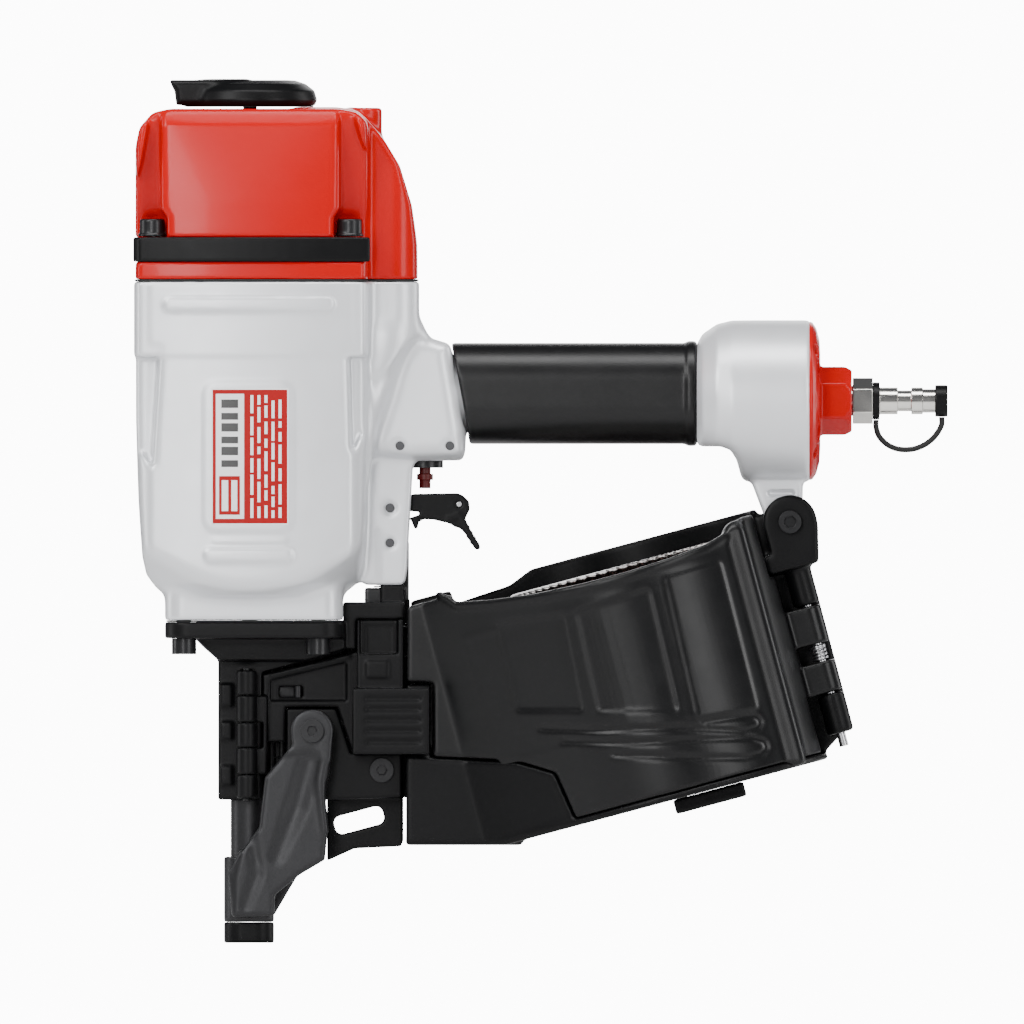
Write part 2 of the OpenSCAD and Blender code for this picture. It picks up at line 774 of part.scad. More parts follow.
module magazine_screws() {
    color("black") {
        for (z = [100, 121]) translate([79, neck_y + seat, z]) rotate([-90, 0, 0])
            socket_screw(2, 3.8, 3, 6.6, 3);
        tilted() translate([ear_u, -13 - seat, ear_w]) rotate([90, 0, 0])
            socket_screw(3, 5, 4, 25, 5);
        translate([58, -7.8 - seat, 76]) rotate([90, 0, 0]) socket_screw(2, 5.4, 1.6, 4.6, 4);
    }
}
module magazine_foot() {
    color("black") tilted() difference() {
        box([196, 228], [-14, 14], [6, drum_w0 - seat]);
        cyl_z([0, 20], 2.52, drum_u);
    }
}
module tray_post() {
    color("silver") tilted() {
        cyl_z([8, 14], 2.5, drum_u);
        cyl_z([drum_w0 + 3 + seat, 96], 6, drum_u);
        cyl_z([13.9, 16], 2.5, drum_u);
    }
}
module nail_tray() {
    color("dimgray") tilted() {
        tube_z([tray_w - 3, tray_w], 56, 6 + run, drum_u);
        tube_z([tray_w - 3, tray_w + 46], 10, 6 + run, drum_u);
    }
}
module nail_coil() {
    color("silver") tilted() {
        for (r = [16:6:coil_r])
            tube_z([tray_w + seat, head_w], r, r - coil_wall, drum_u);
        for (w = [tray_w + 14, head_w - 14])
            tube_z([w, w + 0.8], coil_r - 0.3, 15.6 - coil_wall, drum_u);
    }
}
module nail_strip() {
    n = 23;
    color("silver") {
        for (i = [0:n - 1]) {
            x = 9.6 + i * nail_pitch;
            z = nail_z0 + x * tan(tilt);
            cyl_z([z, z + nail_len - 1], nail_r, x);
            cyl_z([z + nail_len - 1.1, z + nail_len], 2.8, x);
        }
        for (w = [76, 104]) tilted() {
            u0 = (9.6 + w * sin(tilt)) / cos(tilt);
            cyl_x([u0, u0 + (n - 1) * nail_pitch / cos(tilt)], 0.4, 0, w);
        }
    }
}

// ---------- contact foot ----------
module foot_outline() {
    polygon([
        [-7, 28], [-4, 40], [4, 51], [6.5, 73], [18.5, 87], [18, 91], [36.5, 91],
        [35, 74], [31.7, 63], [34.3, 50], [33, 36.5], [22, 30], [11, 21], [10.6, 12], [-7, 12]
    ]);
    translate([eye_x, eye_z]) circle(9.4);
}
module contact_foot() {
    color("gray") difference() {
        union() {
            translate([0, 0, 9.2]) linear_extrude(28.8)
                round_rect([-11.4, -11], [10.6, 11], 8);
            side([-24, -19]) foot_outline();
            box([-7, 10.6], [-19.1, -9.5], [12, 32]);
            side([9.2, 12]) polygon([[-7, 12], [10.6, 12], [33, 50], [33, 74], [12, 74], [-7, 36]]);
        }
        cyl_z([5, 45], 8.5 + run);
        box([0, 14], [-2.8, 2.8], [20, 40]);
        cyl_y([-30, -10], 2.52, eye_x, eye_z);
    }
}
module contact_tip() {
    color("black") difference() {
        linear_extrude(9.2 - seat) round_rect([-11.4, -11], [10.6, 11], 8);
        cyl_z([-1, 12], 8.5 + run);
    }
}
module contact_foot_bolt() {
    color("black") {
        translate([eye_x, -24 - seat, eye_z]) rotate([90, 0, 0]) socket_screw(2.5, 5.2, 3, 5.5, 4);
    }
}
module contact_arm() {
    color("dimgray") {
        side([12.02, 14.6]) polygon([
            [14, 64], [64, 64], [64, 148], [54, 148], [54, 80], [46, 75], [14, 75]
        ]);
        box([54, 64], [-7, 14.6], [142, 148]);
        box([50.5, 68], [-7, 7], [147.9, 156.3]);
        box([65, 70], [-3, 3], [150, 177]);
    }
}
module contact_arm_spring() {
    color("silver") tube_z([156.4, 174], 2.6, 1.9, 57, 0);
}

// ---------- trigger ----------
module trigger() {
    color("black") difference() {
        union() {
            side([-6.6, 6.6]) {
                polygon([
                    [61.6, 196], [58, 188], [63, 186], [71, 186.2], [78, 184.6], [86, 184.5],
                    [92, 187], [96.4, 182], [99.4, 176], [101, 172.8], [101.6, 174], [100, 180],
                    [97.6, 187], [96.5, 194], [94, 198], [72, 197.6], [68, 196]
                ]);
                translate([trigger_x, trigger_z]) circle(5);
            }
        }
        box([50, 96], [-3.6, 3.6], [188.5, 205]);
        box([50, 74.5], [-3.6, 3.6], [170, 205]);
        cyl_y([-10, 10], 2.06, trigger_x, trigger_z);
        cyl_y([-10, 10], 1.22, lever_x, lever_z);
    }
}
module trigger_lever() {
    color("silver") difference() {
        union() {
            side([-3.2, 3.2]) polygon([
                [66.5, 190.2], [67, 192.2], [74, 193.4], [84, 193.4], [90, 194.8], [92, 191], [90, 190.2]
            ]);
            cyl_y([-3.2, 3.2], 2.4, lever_x, lever_z);
        }
        cyl_y([-10, 10], 1.26, lever_x, lever_z);
    }
}
module trigger_lever_pin() {
    color("silver") cyl_y([-6.8, 6.8], 1.2, lever_x, lever_z);
}
module trigger_pin() {
    color("silver") cyl_y([-14, 14], 2, trigger_x, trigger_z);
}

main_body();
cylinder_cap();
cap_gasket();
cap_band();
cap_screws();
exhaust_gasket();
exhaust_deflector();
deflector_screw();
end_cap();
end_cap_o_ring();
air_plug();
dust_cap_ring();
dust_cap_tether();
dust_cap();
handle_grip();
name_plate();
cylinder_sleeve();
sleeve_o_rings();
bumper();
piston();
piston_o_ring();
driver_blade();
head_valve();
head_valve_spring();
nose_body();
nose_gasket();
nose_screws();
door();
door_hinge_pin();
latch();
latch_spring();
check_pawl();
feed_piston();
feed_pawl();
feed_spring();
feed_cylinder_cap();
magazine_body();
magazine_cover();
cover_hinge_pin();
cover_spring();
nail_guide_plate();
magazine_screws();
magazine_foot();
nail_tray();
tray_post();
nail_coil();
nail_strip();
contact_foot();
contact_tip();
contact_foot_bolt();
contact_arm();
contact_arm_spring();
trigger();
trigger_lever();
trigger_lever_pin();
trigger_pin();
valve_housing();
valve_stem();
valve_spring();
valve_roll_pins();
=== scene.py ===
import json
import math

import bmesh
import bpy
import numpy as np
import openvdb as vdb
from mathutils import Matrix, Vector

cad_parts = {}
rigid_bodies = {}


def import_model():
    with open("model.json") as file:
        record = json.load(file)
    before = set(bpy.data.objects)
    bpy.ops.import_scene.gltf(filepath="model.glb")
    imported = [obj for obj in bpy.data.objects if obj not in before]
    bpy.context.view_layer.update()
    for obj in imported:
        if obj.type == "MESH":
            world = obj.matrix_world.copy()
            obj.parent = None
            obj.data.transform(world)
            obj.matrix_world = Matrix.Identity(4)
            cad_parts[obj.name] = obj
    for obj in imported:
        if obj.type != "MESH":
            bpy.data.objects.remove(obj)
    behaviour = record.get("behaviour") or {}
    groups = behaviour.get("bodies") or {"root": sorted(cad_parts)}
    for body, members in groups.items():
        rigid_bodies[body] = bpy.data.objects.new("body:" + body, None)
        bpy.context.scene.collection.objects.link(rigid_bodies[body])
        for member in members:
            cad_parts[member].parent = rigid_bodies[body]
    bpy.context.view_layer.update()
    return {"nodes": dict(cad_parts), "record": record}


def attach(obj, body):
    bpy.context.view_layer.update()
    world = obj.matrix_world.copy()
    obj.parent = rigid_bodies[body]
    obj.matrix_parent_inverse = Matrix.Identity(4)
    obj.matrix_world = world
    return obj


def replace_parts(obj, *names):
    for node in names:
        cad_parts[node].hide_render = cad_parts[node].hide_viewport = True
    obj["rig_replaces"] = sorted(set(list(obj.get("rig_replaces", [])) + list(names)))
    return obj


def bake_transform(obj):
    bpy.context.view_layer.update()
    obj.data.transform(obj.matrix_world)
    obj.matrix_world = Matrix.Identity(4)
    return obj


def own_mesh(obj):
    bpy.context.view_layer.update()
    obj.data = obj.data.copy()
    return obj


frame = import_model()
NODES = frame["nodes"]
MM = 0.001
TILT = math.radians(15)          # of the magazine and its nails
CROWN = 354                      # radius of the barrel's and cap's slightly rounded sides, in millimetres
CHAMBER_Z = 238.5                # axis of the air chamber, end cap and plug
GRIP_Z = 241.8                   # axis of the handle
HEAD_BORE = 41                   # radius of the bore above the cylinder
DRUM_X = 200                     # axis of the magazine's drum, in its tilted frame
NAIL, NAIL_PITCH = 57, 4.4       # length of a nail, and its distance to the next in the strip
COIL_TOP = 117.5                 # height of the nail heads in the tilted frame
CAP_SCREWS = (-43, 43.8), (-36.6, 36.6)
TRIGGER_PIN = (61.6, 191.4)
GUIDE_PIN = (61.6, 176)
VALVE_PINS = (66, 218.7), (88, 218.7)
SLOT_OF = {s["node"]: s["material_slot"] for s in frame["record"]["subparts"]}
BODY_OF = {n: b for b, ns in frame["record"]["behaviour"]["bodies"].items() for n in ns}


# ---------- camera, light and floor ----------
def aim(obj, target):
    obj.rotation_euler = (Vector(target) - obj.location).to_track_quat("-Z", "Y").to_euler()


def make_stage():
    cam = bpy.data.objects.new("camera", bpy.data.cameras.new("camera"))
    bpy.context.scene.collection.objects.link(cam)
    cam.data.type = "ORTHO"
    cam.data.ortho_scale = 0.45056
    cam.location = (0.1153, -1.6, 0.1896)
    aim(cam, (0.1153, 0, 0.1896))
    bpy.context.scene.camera = cam
    lights = [
        # position, target, width, height, watts
        ((-0.26, -1.6, 0.55), (0.0, 0, 0.3), 0.28, 0.8, 12),
        ((-0.75, -0.9, 0.95), (0.05, 0, 0.22), 0.5, 0.7, 13),
        ((1.05, -1.0, 0.5), (0.15, 0, 0.15), 0.5, 1.0, 10),
        ((0.15, -0.35, 1.2), (0.15, 0, 0.2), 1.1, 0.4, 15),
        ((-1.2, 0.1, 0.35), (0, 0, 0.25), 0.25, 1.1, 7),
        ((1.3, 0.4, 0.45), (0.2, 0, 0.2), 0.3, 1.1, 7),
        ((0.1, 1.3, 0.6), (0.1, 0, 0.2), 1.0, 0.8, 9),
    ]
    for i, (at, to, w, h, watts) in enumerate(lights):
        lamp = bpy.data.lights.new(f"softbox_{i}", "AREA")
        lamp.shape, lamp.size, lamp.size_y, lamp.energy = "RECTANGLE", w, h, watts
        obj = bpy.data.objects.new(lamp.name, lamp)
        obj.location = at
        aim(obj, to)
        bpy.context.scene.collection.objects.link(obj)
    world = bpy.data.worlds.new("studio")
    bpy.context.scene.world = world
    world.use_nodes = True
    nt = world.node_tree
    back = nt.nodes["Background"]
    back.inputs["Strength"].default_value = 0.12
    seen = nt.nodes.new("ShaderNodeBackground")
    seen.inputs["Strength"].default_value = 12.0
    path = nt.nodes.new("ShaderNodeLightPath")
    mix = nt.nodes.new("ShaderNodeMixShader")
    back.inputs["Color"].default_value = (0.9, 0.93, 1, 1)
    seen.inputs["Color"].default_value = (1, 1, 1, 1)
    nt.links.new(path.outputs["Is Camera Ray"], mix.inputs[0])
    nt.links.new(back.outputs[0], mix.inputs[1])
    nt.links.new(seen.outputs[0], mix.inputs[2])
    nt.links.new(mix.outputs[0], nt.nodes["World Output"].inputs["Surface"])
    verts = [(-3, -3, 0), (3, -3, 0), (3, 3, 0), (-3, 3, 0)]
    mesh = bpy.data.meshes.new("floor")
    mesh.from_pydata([(x, y, z - 0.0003) for x, y, z in verts], [], [(0, 1, 2, 3)])
    floor = bpy.data.objects.new("floor", mesh)
    bpy.context.scene.collection.objects.link(floor)
    paint = bpy.data.materials.new("floor_paint")
    paint.use_nodes = True
    shader = paint.node_tree.nodes["Principled BSDF"]
    shader.inputs["Base Color"].default_value = (0.82, 0.82, 0.82, 1)
    shader.inputs["Roughness"].default_value = 0.75
    mesh.materials.append(paint)


make_stage()


# ---------- materials ----------
def make_material(name, color, rough, metal=0.0, coat=0.0, vary=0.05, rough_vary=0.04, grain=400.0,
                  bump=0.05, edge_wear_and_highlight=0.0, edge_wear_and_highlight_color=(0.5, 0.5, 0.5), stretch=(1, 1, 1),
                  shine=0.5):
    """A finish with a little colour and gloss variation, a fine surface grain, and convex edges lightened,
    partly as real wear and partly as a painted edge highlight.
    """
    mat = bpy.data.materials.new(name)
    mat.use_nodes = True
    nt = mat.node_tree
    shader = nt.nodes["Principled BSDF"]
    shader.inputs["Metallic"].default_value = metal
    shader.inputs["Coat Weight"].default_value = coat
    shader.inputs["Specular IOR Level"].default_value = shine
    shader.inputs["Coat Roughness"].default_value = 0.06
    coord = nt.nodes.new("ShaderNodeTexCoord")
    scale = nt.nodes.new("ShaderNodeMapping")
    scale.inputs["Scale"].default_value = stretch
    nt.links.new(coord.outputs["Object"], scale.inputs["Vector"])

    def noise(size, detail):
        n = nt.nodes.new("ShaderNodeTexNoise")
        n.inputs["Scale"].default_value = size
        n.inputs["Detail"].default_value = detail
        nt.links.new(scale.outputs[0], n.inputs["Vector"])
        return n.outputs["Fac"]

    def ramp(source, low, high, a, b):
        r = nt.nodes.new("ShaderNodeMapRange")
        r.inputs["From Min"].default_value = a
        r.inputs["From Max"].default_value = b
        r.inputs["To Min"].default_value = low
        r.inputs["To Max"].default_value = high
        nt.links.new(source, r.inputs["Value"])
        return r.outputs[0]

    def mix(fac, a, b):
        m = nt.nodes.new("ShaderNodeMix")
        m.data_type = "RGBA"
        for socket, value in ((m.inputs[0], fac), (m.inputs[6], a), (m.inputs[7], b)):
            if isinstance(value, bpy.types.NodeSocket):
                nt.links.new(value, socket)
            else:
                socket.default_value = value
        return m.outputs[2]

    dark = tuple(c * (1 - vary) for c in color) + (1,)
    light = tuple(min(1, c * (1 + vary) + vary * 0.01) for c in color) + (1,)
    blotch = noise(28, 4)
    tone = mix(ramp(blotch, 0, 1, 0.2, 0.8), dark, light)
    gloss = ramp(noise(90, 5), rough - rough_vary, rough + rough_vary, 0.15, 0.85)
    # edges picked out by pointiness get a lighter colour: partly worn edges, partly a painted highlight along
    # every convex edge
    if edge_wear_and_highlight:
        geo = nt.nodes.new("ShaderNodeNewGeometry")
        edge = nt.nodes.new("ShaderNodeMath")
        edge.operation = "MULTIPLY"
        nt.links.new(ramp(geo.outputs["Pointiness"], 0, edge_wear_and_highlight, 0.52, 0.6), edge.inputs[0])
        nt.links.new(ramp(noise(160, 6), 0, 1, 0.42, 0.6), edge.inputs[1])
        tone = mix(edge.outputs[0], tone, edge_wear_and_highlight_color + (1,))
    nt.links.new(tone, shader.inputs["Base Color"])
    nt.links.new(gloss, shader.inputs["Roughness"])
    rise = nt.nodes.new("ShaderNodeBump")
    rise.inputs["Strength"].default_value = bump
    rise.inputs["Distance"].default_value = 0.0002
    nt.links.new(noise(grain, 3), rise.inputs["Height"])
    nt.links.new(rise.outputs[0], shader.inputs["Normal"])
    return mat


# the lighter edge colours below are partly edge wear and partly a painted edge highlight
MATERIALS = {
    "painted_red": make_material("red_paint", (0.4, 0.0, 0.001), 0.24, coat=0.05, grain=240, bump=0.015,
                                 vary=0.02, rough_vary=0.02, shine=0.16),
    "cast_body": make_material("silver_casting", (0.66, 0.67, 0.69), 0.38, metal=0.4, grain=1100, bump=0.1,
                               vary=0.025, edge_wear_and_highlight=0.15, edge_wear_and_highlight_color=(0.8, 0.81, 0.82)),
    "black_casting": make_material("black_casting", (0.002, 0.002, 0.0023), 0.42, grain=1200, bump=0.12,
                                   vary=0.12, edge_wear_and_highlight=0.2, edge_wear_and_highlight_color=(0.012, 0.012, 0.013), shine=0.14),
    "black_plastic": make_material("black_plastic", (0.0015, 0.0015, 0.0018), 0.4, grain=2200, bump=0.08,
                                   shine=0.14),
    "cover_plastic": make_material("cover_plastic", (0.002, 0.002, 0.0023), 0.34, grain=1500, bump=0.03,
                                   edge_wear_and_highlight=0.1, edge_wear_and_highlight_color=(0.01, 0.01, 0.011), shine=0.24),
    "grip_rubber": make_material("grip_rubber", (0.0015, 0.0015, 0.0018), 0.36, grain=1800, bump=0.2,
                                 shine=0.3),
    "seal_rubber": make_material("seal_rubber", (0.006, 0.006, 0.006), 0.6, grain=1500, bump=0.2, shine=0.3),
    "label": make_material("label_print", (0.28, 0.0, 0.001), 0.5, shine=0.2),
    "foot_steel": make_material("foot_steel", (0.022, 0.022, 0.0235), 0.4, metal=0.7, vary=0.08, grain=700,
                                bump=0.2, edge_wear_and_highlight=0.3, edge_wear_and_highlight_color=(0.07, 0.07, 0.073)),
    "black_steel": make_material("black_steel", (0.01, 0.01, 0.011), 0.32, metal=0.3, grain=900, shine=0.35),
    "bright_steel": make_material("bright_steel", (0.5, 0.5, 0.51), 0.28, metal=1.0, grain=900,
                                  stretch=(1, 1, 0.2)),
    "nickel": make_material("nickel", (0.72, 0.7, 0.66), 0.18, metal=1.0, grain=700, bump=0.006),
    "spring_steel": make_material("spring_steel", (0.4, 0.4, 0.41), 0.3, metal=1.0),
    "brass": make_material("brass", (0.6, 0.38, 0.14), 0.28, metal=1.0),
    "aluminium": make_material("aluminium", (0.7, 0.71, 0.72), 0.32, metal=1.0, stretch=(1, 1, 0.3)),
    "nail_wire": make_material("nail_wire", (0.36, 0.34, 0.33), 0.3, metal=1.0, vary=0.1),
    "wire_copper": make_material("copper_wire", (0.55, 0.27, 0.22), 0.3, metal=0.9),
    # the strip nails: a darker copy of the nail colour, painted shade of the inside of the nose
    "strip_nail_shade": make_material("strip_nails_painted_shade", (0.03, 0.03, 0.031), 0.4, metal=0.5),
    "pin_steel": make_material("pin_steel", (0.05, 0.05, 0.053), 0.4, metal=0.6),
    "label_white": make_material("label_white", (0.75, 0.75, 0.75), 0.5, shine=0.2),
    "label_black": make_material("label_black", (0.012, 0.012, 0.012), 0.35),
    "valve_red": make_material("valve_red", (0.07, 0.001, 0.001), 0.4, shine=0.3),
}


# ---------- castings and mouldings as distance fields, in millimetres ----------
def join(a, b, k=1.0):
    """Union of two distances with a fillet of about k."""
    h = np.maximum(k - np.abs(a - b), 0) / k
    return np.minimum(a, b) - h * h * k / 4


def cut(a, b, k=1.0):
    return -join(-a, b, k)


def both(a, b, k=1.0):
    return -join(-a, -b, k)


def soften(points, radius):
    """The outline with each corner turned into a short curve."""
    pts = [np.array(p, float) for p in points]
    if radius <= 0:
        return pts
    out = []
    for i, b in enumerate(pts):
        a, c = pts[i - 1], pts[(i + 1) % len(pts)]
        la, lc = np.linalg.norm(a - b), np.linalg.norm(c - b)
        turn = math.acos(max(-1, min(1, float(np.dot(a - b, c - b) / (la * lc)))))
        reach = min(radius / math.tan(turn / 2), 0.45 * la, 0.45 * lc)
        s, e = b + (a - b) * reach / la, b + (c - b) * reach / lc
        out += [s * (1 - t) ** 2 + b * 2 * t * (1 - t) + e * t * t for t in np.linspace(0, 1, 6)]
    return out


def poly(points, radius=0.0):
    """Signed distance to a closed outline."""
    pts = [(float(p[0]), float(p[1])) for p in soften(points, radius)]

    def distance(p, q):
        shape = np.broadcast(p, q).shape
        best = np.full(shape, 1e9, np.float32)
        inside = np.zeros(shape, bool)
        for (ax, ay), (bx, by) in zip(pts, pts[1:] + pts[:1]):
            ex, ey = bx - ax, by - ay
            span = ex * ex + ey * ey
            if span < 1e-9:
                continue
            t = np.clip(((p - ax) * ex + (q - ay) * ey) / span, 0, 1)
            best = np.minimum(best, (p - ax - t * ex) ** 2 + (q - ay - t * ey) ** 2)
            if ey:
                inside ^= ((ay > q) != (by > q)) & (p < ax + (q - ay) / ey * ex)
        return np.where(inside, -1, 1) * np.sqrt(best)

    return distance


def rect(x0, x1, y0, y1, r=0.0):
    def distance(p, q):
        u = np.abs(p - (x0 + x1) / 2) - (x1 - x0) / 2 + r
        v = np.abs(q - (y0 + y1) / 2) - (y1 - y0) / 2 + r
        return np.minimum(np.maximum(u, v), 0) + np.hypot(np.maximum(u, 0), np.maximum(v, 0)) - r
    return distance


def disc(x, y, r):
    return lambda p, q: np.hypot(p - x, q - y) - r


def stroke(points, r):
    """A line of constant width through the points."""
    def distance(p, q):
        best = 1e9
        for (ax, ay), (bx, by) in zip(points, points[1:]):
            ex, ey = bx - ax, by - ay
            t = np.clip(((p - ax) * ex + (q - ay) * ey) / (ex * ex + ey * ey), 0, 1)
            best = np.minimum(best, np.hypot(p - ax - t * ex, q - ay - t * ey))
        return best - r
    return distance


def to_tilted(points, way=1):
    """Points of the tool's frame in the magazine's tilted one, or back with way -1."""
    points = np.asarray(points, float)
    c, s = math.cos(TILT), way * math.sin(TILT)
    x, z = points[:, 0], points[:, -1]
    columns = [x * c + z * s, z * c - x * s]
    if points.shape[1] == 3:
        columns.insert(1, points[:, 1])
    return np.stack(columns, 1)


class Field:
    """A distance field on a grid, in the tool's frame or in the magazine's tilted one."""

    def __init__(self, low, high, step, tilted=False):
        self.step, self.tilted = step, tilted
        self.low = np.floor(np.array(low, float) / step).astype(int)
        self.high = np.ceil(np.array(high, float) / step).astype(int)
        self.axes = [np.arange(a, b + 1, dtype=np.float32) * step for a, b in zip(self.low, self.high)]
        self.d = np.full([len(a) for a in self.axes], 9.0, np.float32)
        self.base = None

    @classmethod
    def of(cls, node, step, tilted=False):
        """A field that starts as a CAD node's own solid."""
        points = cls.points_of(node, tilted)
        f = cls(points.min(0) - 2, points.max(0) + 2, step, tilted)
        f.d[...] = f.mesh_of(node)
        f.base = f.d.copy()
        return f

    @staticmethod
    def points_of(node, tilted):
        mesh = NODES[node].data
        points = np.zeros(len(mesh.vertices) * 3, np.float32)
        mesh.vertices.foreach_get("co", points)
        points = points.reshape(-1, 3) / MM
        return to_tilted(points) if tilted else points

    def part(self, low, high):
        """A window on the field, for work on one corner of it."""
        w = Field.__new__(Field)
        w.step, w.tilted = self.step, self.tilted
        spans = []
        for i in range(3):
            a = max(0, int(low[i] / self.step) - int(self.low[i]) - 2)
            b = min(len(self.axes[i]), int(high[i] / self.step) - int(self.low[i]) + 3)
            spans.append(slice(a, max(b, a + 1)))
        w.axes = [axis[s] for axis, s in zip(self.axes, spans)]
        w.d = self.d[tuple(spans)]
        w.base = None if self.base is None else self.base[tuple(spans)]
        return w

    def emboss(self, axis, span, shape, height, k=0.5, skin=None):
        """Raises the surface by height, or sinks it where height is negative, inside an outline."""
        span = (min(span), max(span))
        skin = self.base if skin is None else skin
        if height > 0:
            self.add(both(skin - height, self.solid(axis, span, shape), k), k)
        else:
            self.remove(both(height - skin, self.solid(axis, span, shape), k), k)

    def solid(self, axis, span, shape, r=0.6):
        """An outline run along an axis, with its two ends rounded by r."""
        i = "xyz".index(axis)
        p, q = [self.axes[j] for j in range(3) if j != i]
        flat = np.expand_dims(shape(p[:, None], q[None, :]).astype(np.float32), i)
        ends = np.abs(self.axes[i] - (span[0] + span[1]) / 2) - (span[1] - span[0]) / 2
        ends = ends.reshape([-1 if j == i else 1 for j in range(3)])
        u, v = flat + r, ends + r
        return np.minimum(np.maximum(u, v), 0) + np.hypot(np.maximum(u, 0), np.maximum(v, 0)) - r

    def lathe(self, axis, centre, shape):
        """An outline of (along the axis, radius) turned about the axis."""
        i = "xyz".index(axis)
        p, q = [self.axes[j] for j in range(3) if j != i]
        radius = np.expand_dims(np.hypot(p[:, None] - centre[0], q[None, :] - centre[1]), i)
        along = self.axes[i].reshape([-1 if j == i else 1 for j in range(3)])
        return shape(along, radius).astype(np.float32)

    def rod(self, points, radii):
        """A rounded rod through the points, its radius changing from one to the next."""
        x, y, z = self.axes[0][:, None, None], self.axes[1][None, :, None], self.axes[2][None, None, :]
        best = None
        for a, b, ra, rb in zip(points, points[1:], radii, radii[1:]):
            e = [b[i] - a[i] for i in range(3)]
            span = sum(v * v for v in e)
            t = np.clip(((x - a[0]) * e[0] + (y - a[1]) * e[1] + (z - a[2]) * e[2]) / span, 0, 1)
            d = np.sqrt((x - a[0] - t * e[0]) ** 2 + (y - a[1] - t * e[1]) ** 2
                        + (z - a[2] - t * e[2]) ** 2) - (ra + t * (rb - ra))
            best = d if best is None else np.minimum(best, d)
        return best.astype(np.float32)

    def mesh_of(self, node):
        """The distance to a CAD node's own surface."""
        mesh = NODES[node].data
        mesh.calc_loop_triangles()
        points = self.points_of(node, self.tilted)
        faces = np.zeros(len(mesh.loop_triangles) * 3, np.uint32)
        mesh.loop_triangles.foreach_get("vertices", faces)
        grid = vdb.FloatGrid.createLevelSetFromPolygons(
            points, triangles=faces.reshape(-1, 3), halfWidth=5.0,
            transform=vdb.createLinearTransform(voxelSize=self.step))
        out = np.zeros([len(a) for a in self.axes], np.float32)
        grid.copyToArray(out, ijk=tuple(int(round(a[0] / self.step)) for a in self.axes))
        return out

    def add(self, d, k=1.0):
        self.d[...] = join(self.d, d, k)

    def remove(self, d, k=1.0):
        self.d[...] = cut(self.d, d, k)

    def keep(self, d, k=1.0):
        self.d[...] = both(self.d, d, k)

    def make(self, name, nodes, blur=1, look=None, body=None):
        band = 3 * self.step
        d = np.clip(self.d, -band, band).astype(np.float32)
        for _ in range(blur):
            for axis in range(3):
                a = np.moveaxis(d, axis, 0)
                a[1:-1] = 0.25 * a[:-2] + 0.5 * a[1:-1] + 0.25 * a[2:]
        grid = vdb.FloatGrid(band)
        grid.copyFromArray(np.ascontiguousarray(d), ijk=tuple(int(v) for v in self.low), tolerance=1e-4)
        grid.transform = vdb.createLinearTransform(voxelSize=self.step)
        grid.gridClass = vdb.GridClass.LEVEL_SET
        points, tris, quads = grid.convertToPolygons(0.0, 0.0)
        if self.tilted:
            points = to_tilted(points, -1)
        return mesh_piece(name, points, list(map(tuple, tris.tolist())) + list(map(tuple, quads.tolist())),
                          nodes, look, body)


def mesh_piece(name, points, faces, nodes, look=None, body=None, smooth=True, free=False):
    """A mesh in millimetres that stands for the nodes and rides on their body, unless it is free, when it is
    left on no body.
    """
    slot = SLOT_OF[nodes[0]] if nodes else "black_plastic"
    mesh = bpy.data.meshes.new(name)
    mesh.from_pydata((np.asarray(points, float) * MM).tolist(), [], faces)
    mesh.update()
    mesh.calc_loop_triangles()
    co = np.zeros(len(mesh.vertices) * 3)
    mesh.vertices.foreach_get("co", co)
    tri = np.zeros(len(mesh.loop_triangles) * 3, np.int32)
    mesh.loop_triangles.foreach_get("vertices", tri)
    a, b, c = co.reshape(-1, 3)[tri.reshape(-1, 3)].transpose(1, 0, 2)
    if np.sum(a * np.cross(b, c)) < 0:
        mesh.flip_normals()
    if smooth:
        mesh.shade_smooth()
    mesh.materials.append(MATERIALS[look or slot])
    piece = bpy.data.objects.new(name, mesh)
    bpy.context.scene.collection.objects.link(piece)
    if not free:
        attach(piece, body or BODY_OF[nodes[0]])
    if nodes:
        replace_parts(piece, *nodes)
    return piece


# ---------- body, cap and exhaust ----------
def crowned(grow, corner, right=52):
    """Plan of the barrel and cap, as the CAD has it."""
    flat = rect(-51 - grow, right, -47 - grow, 47 + grow, corner + grow)

    def distance(p, q):
        crown = np.maximum(np.hypot(p - 0.5, q - CROWN + 47), np.hypot(p - 0.5, q + CROWN - 47))
        return np.maximum(flat(p, q), crown - CROWN - grow)
    return distance


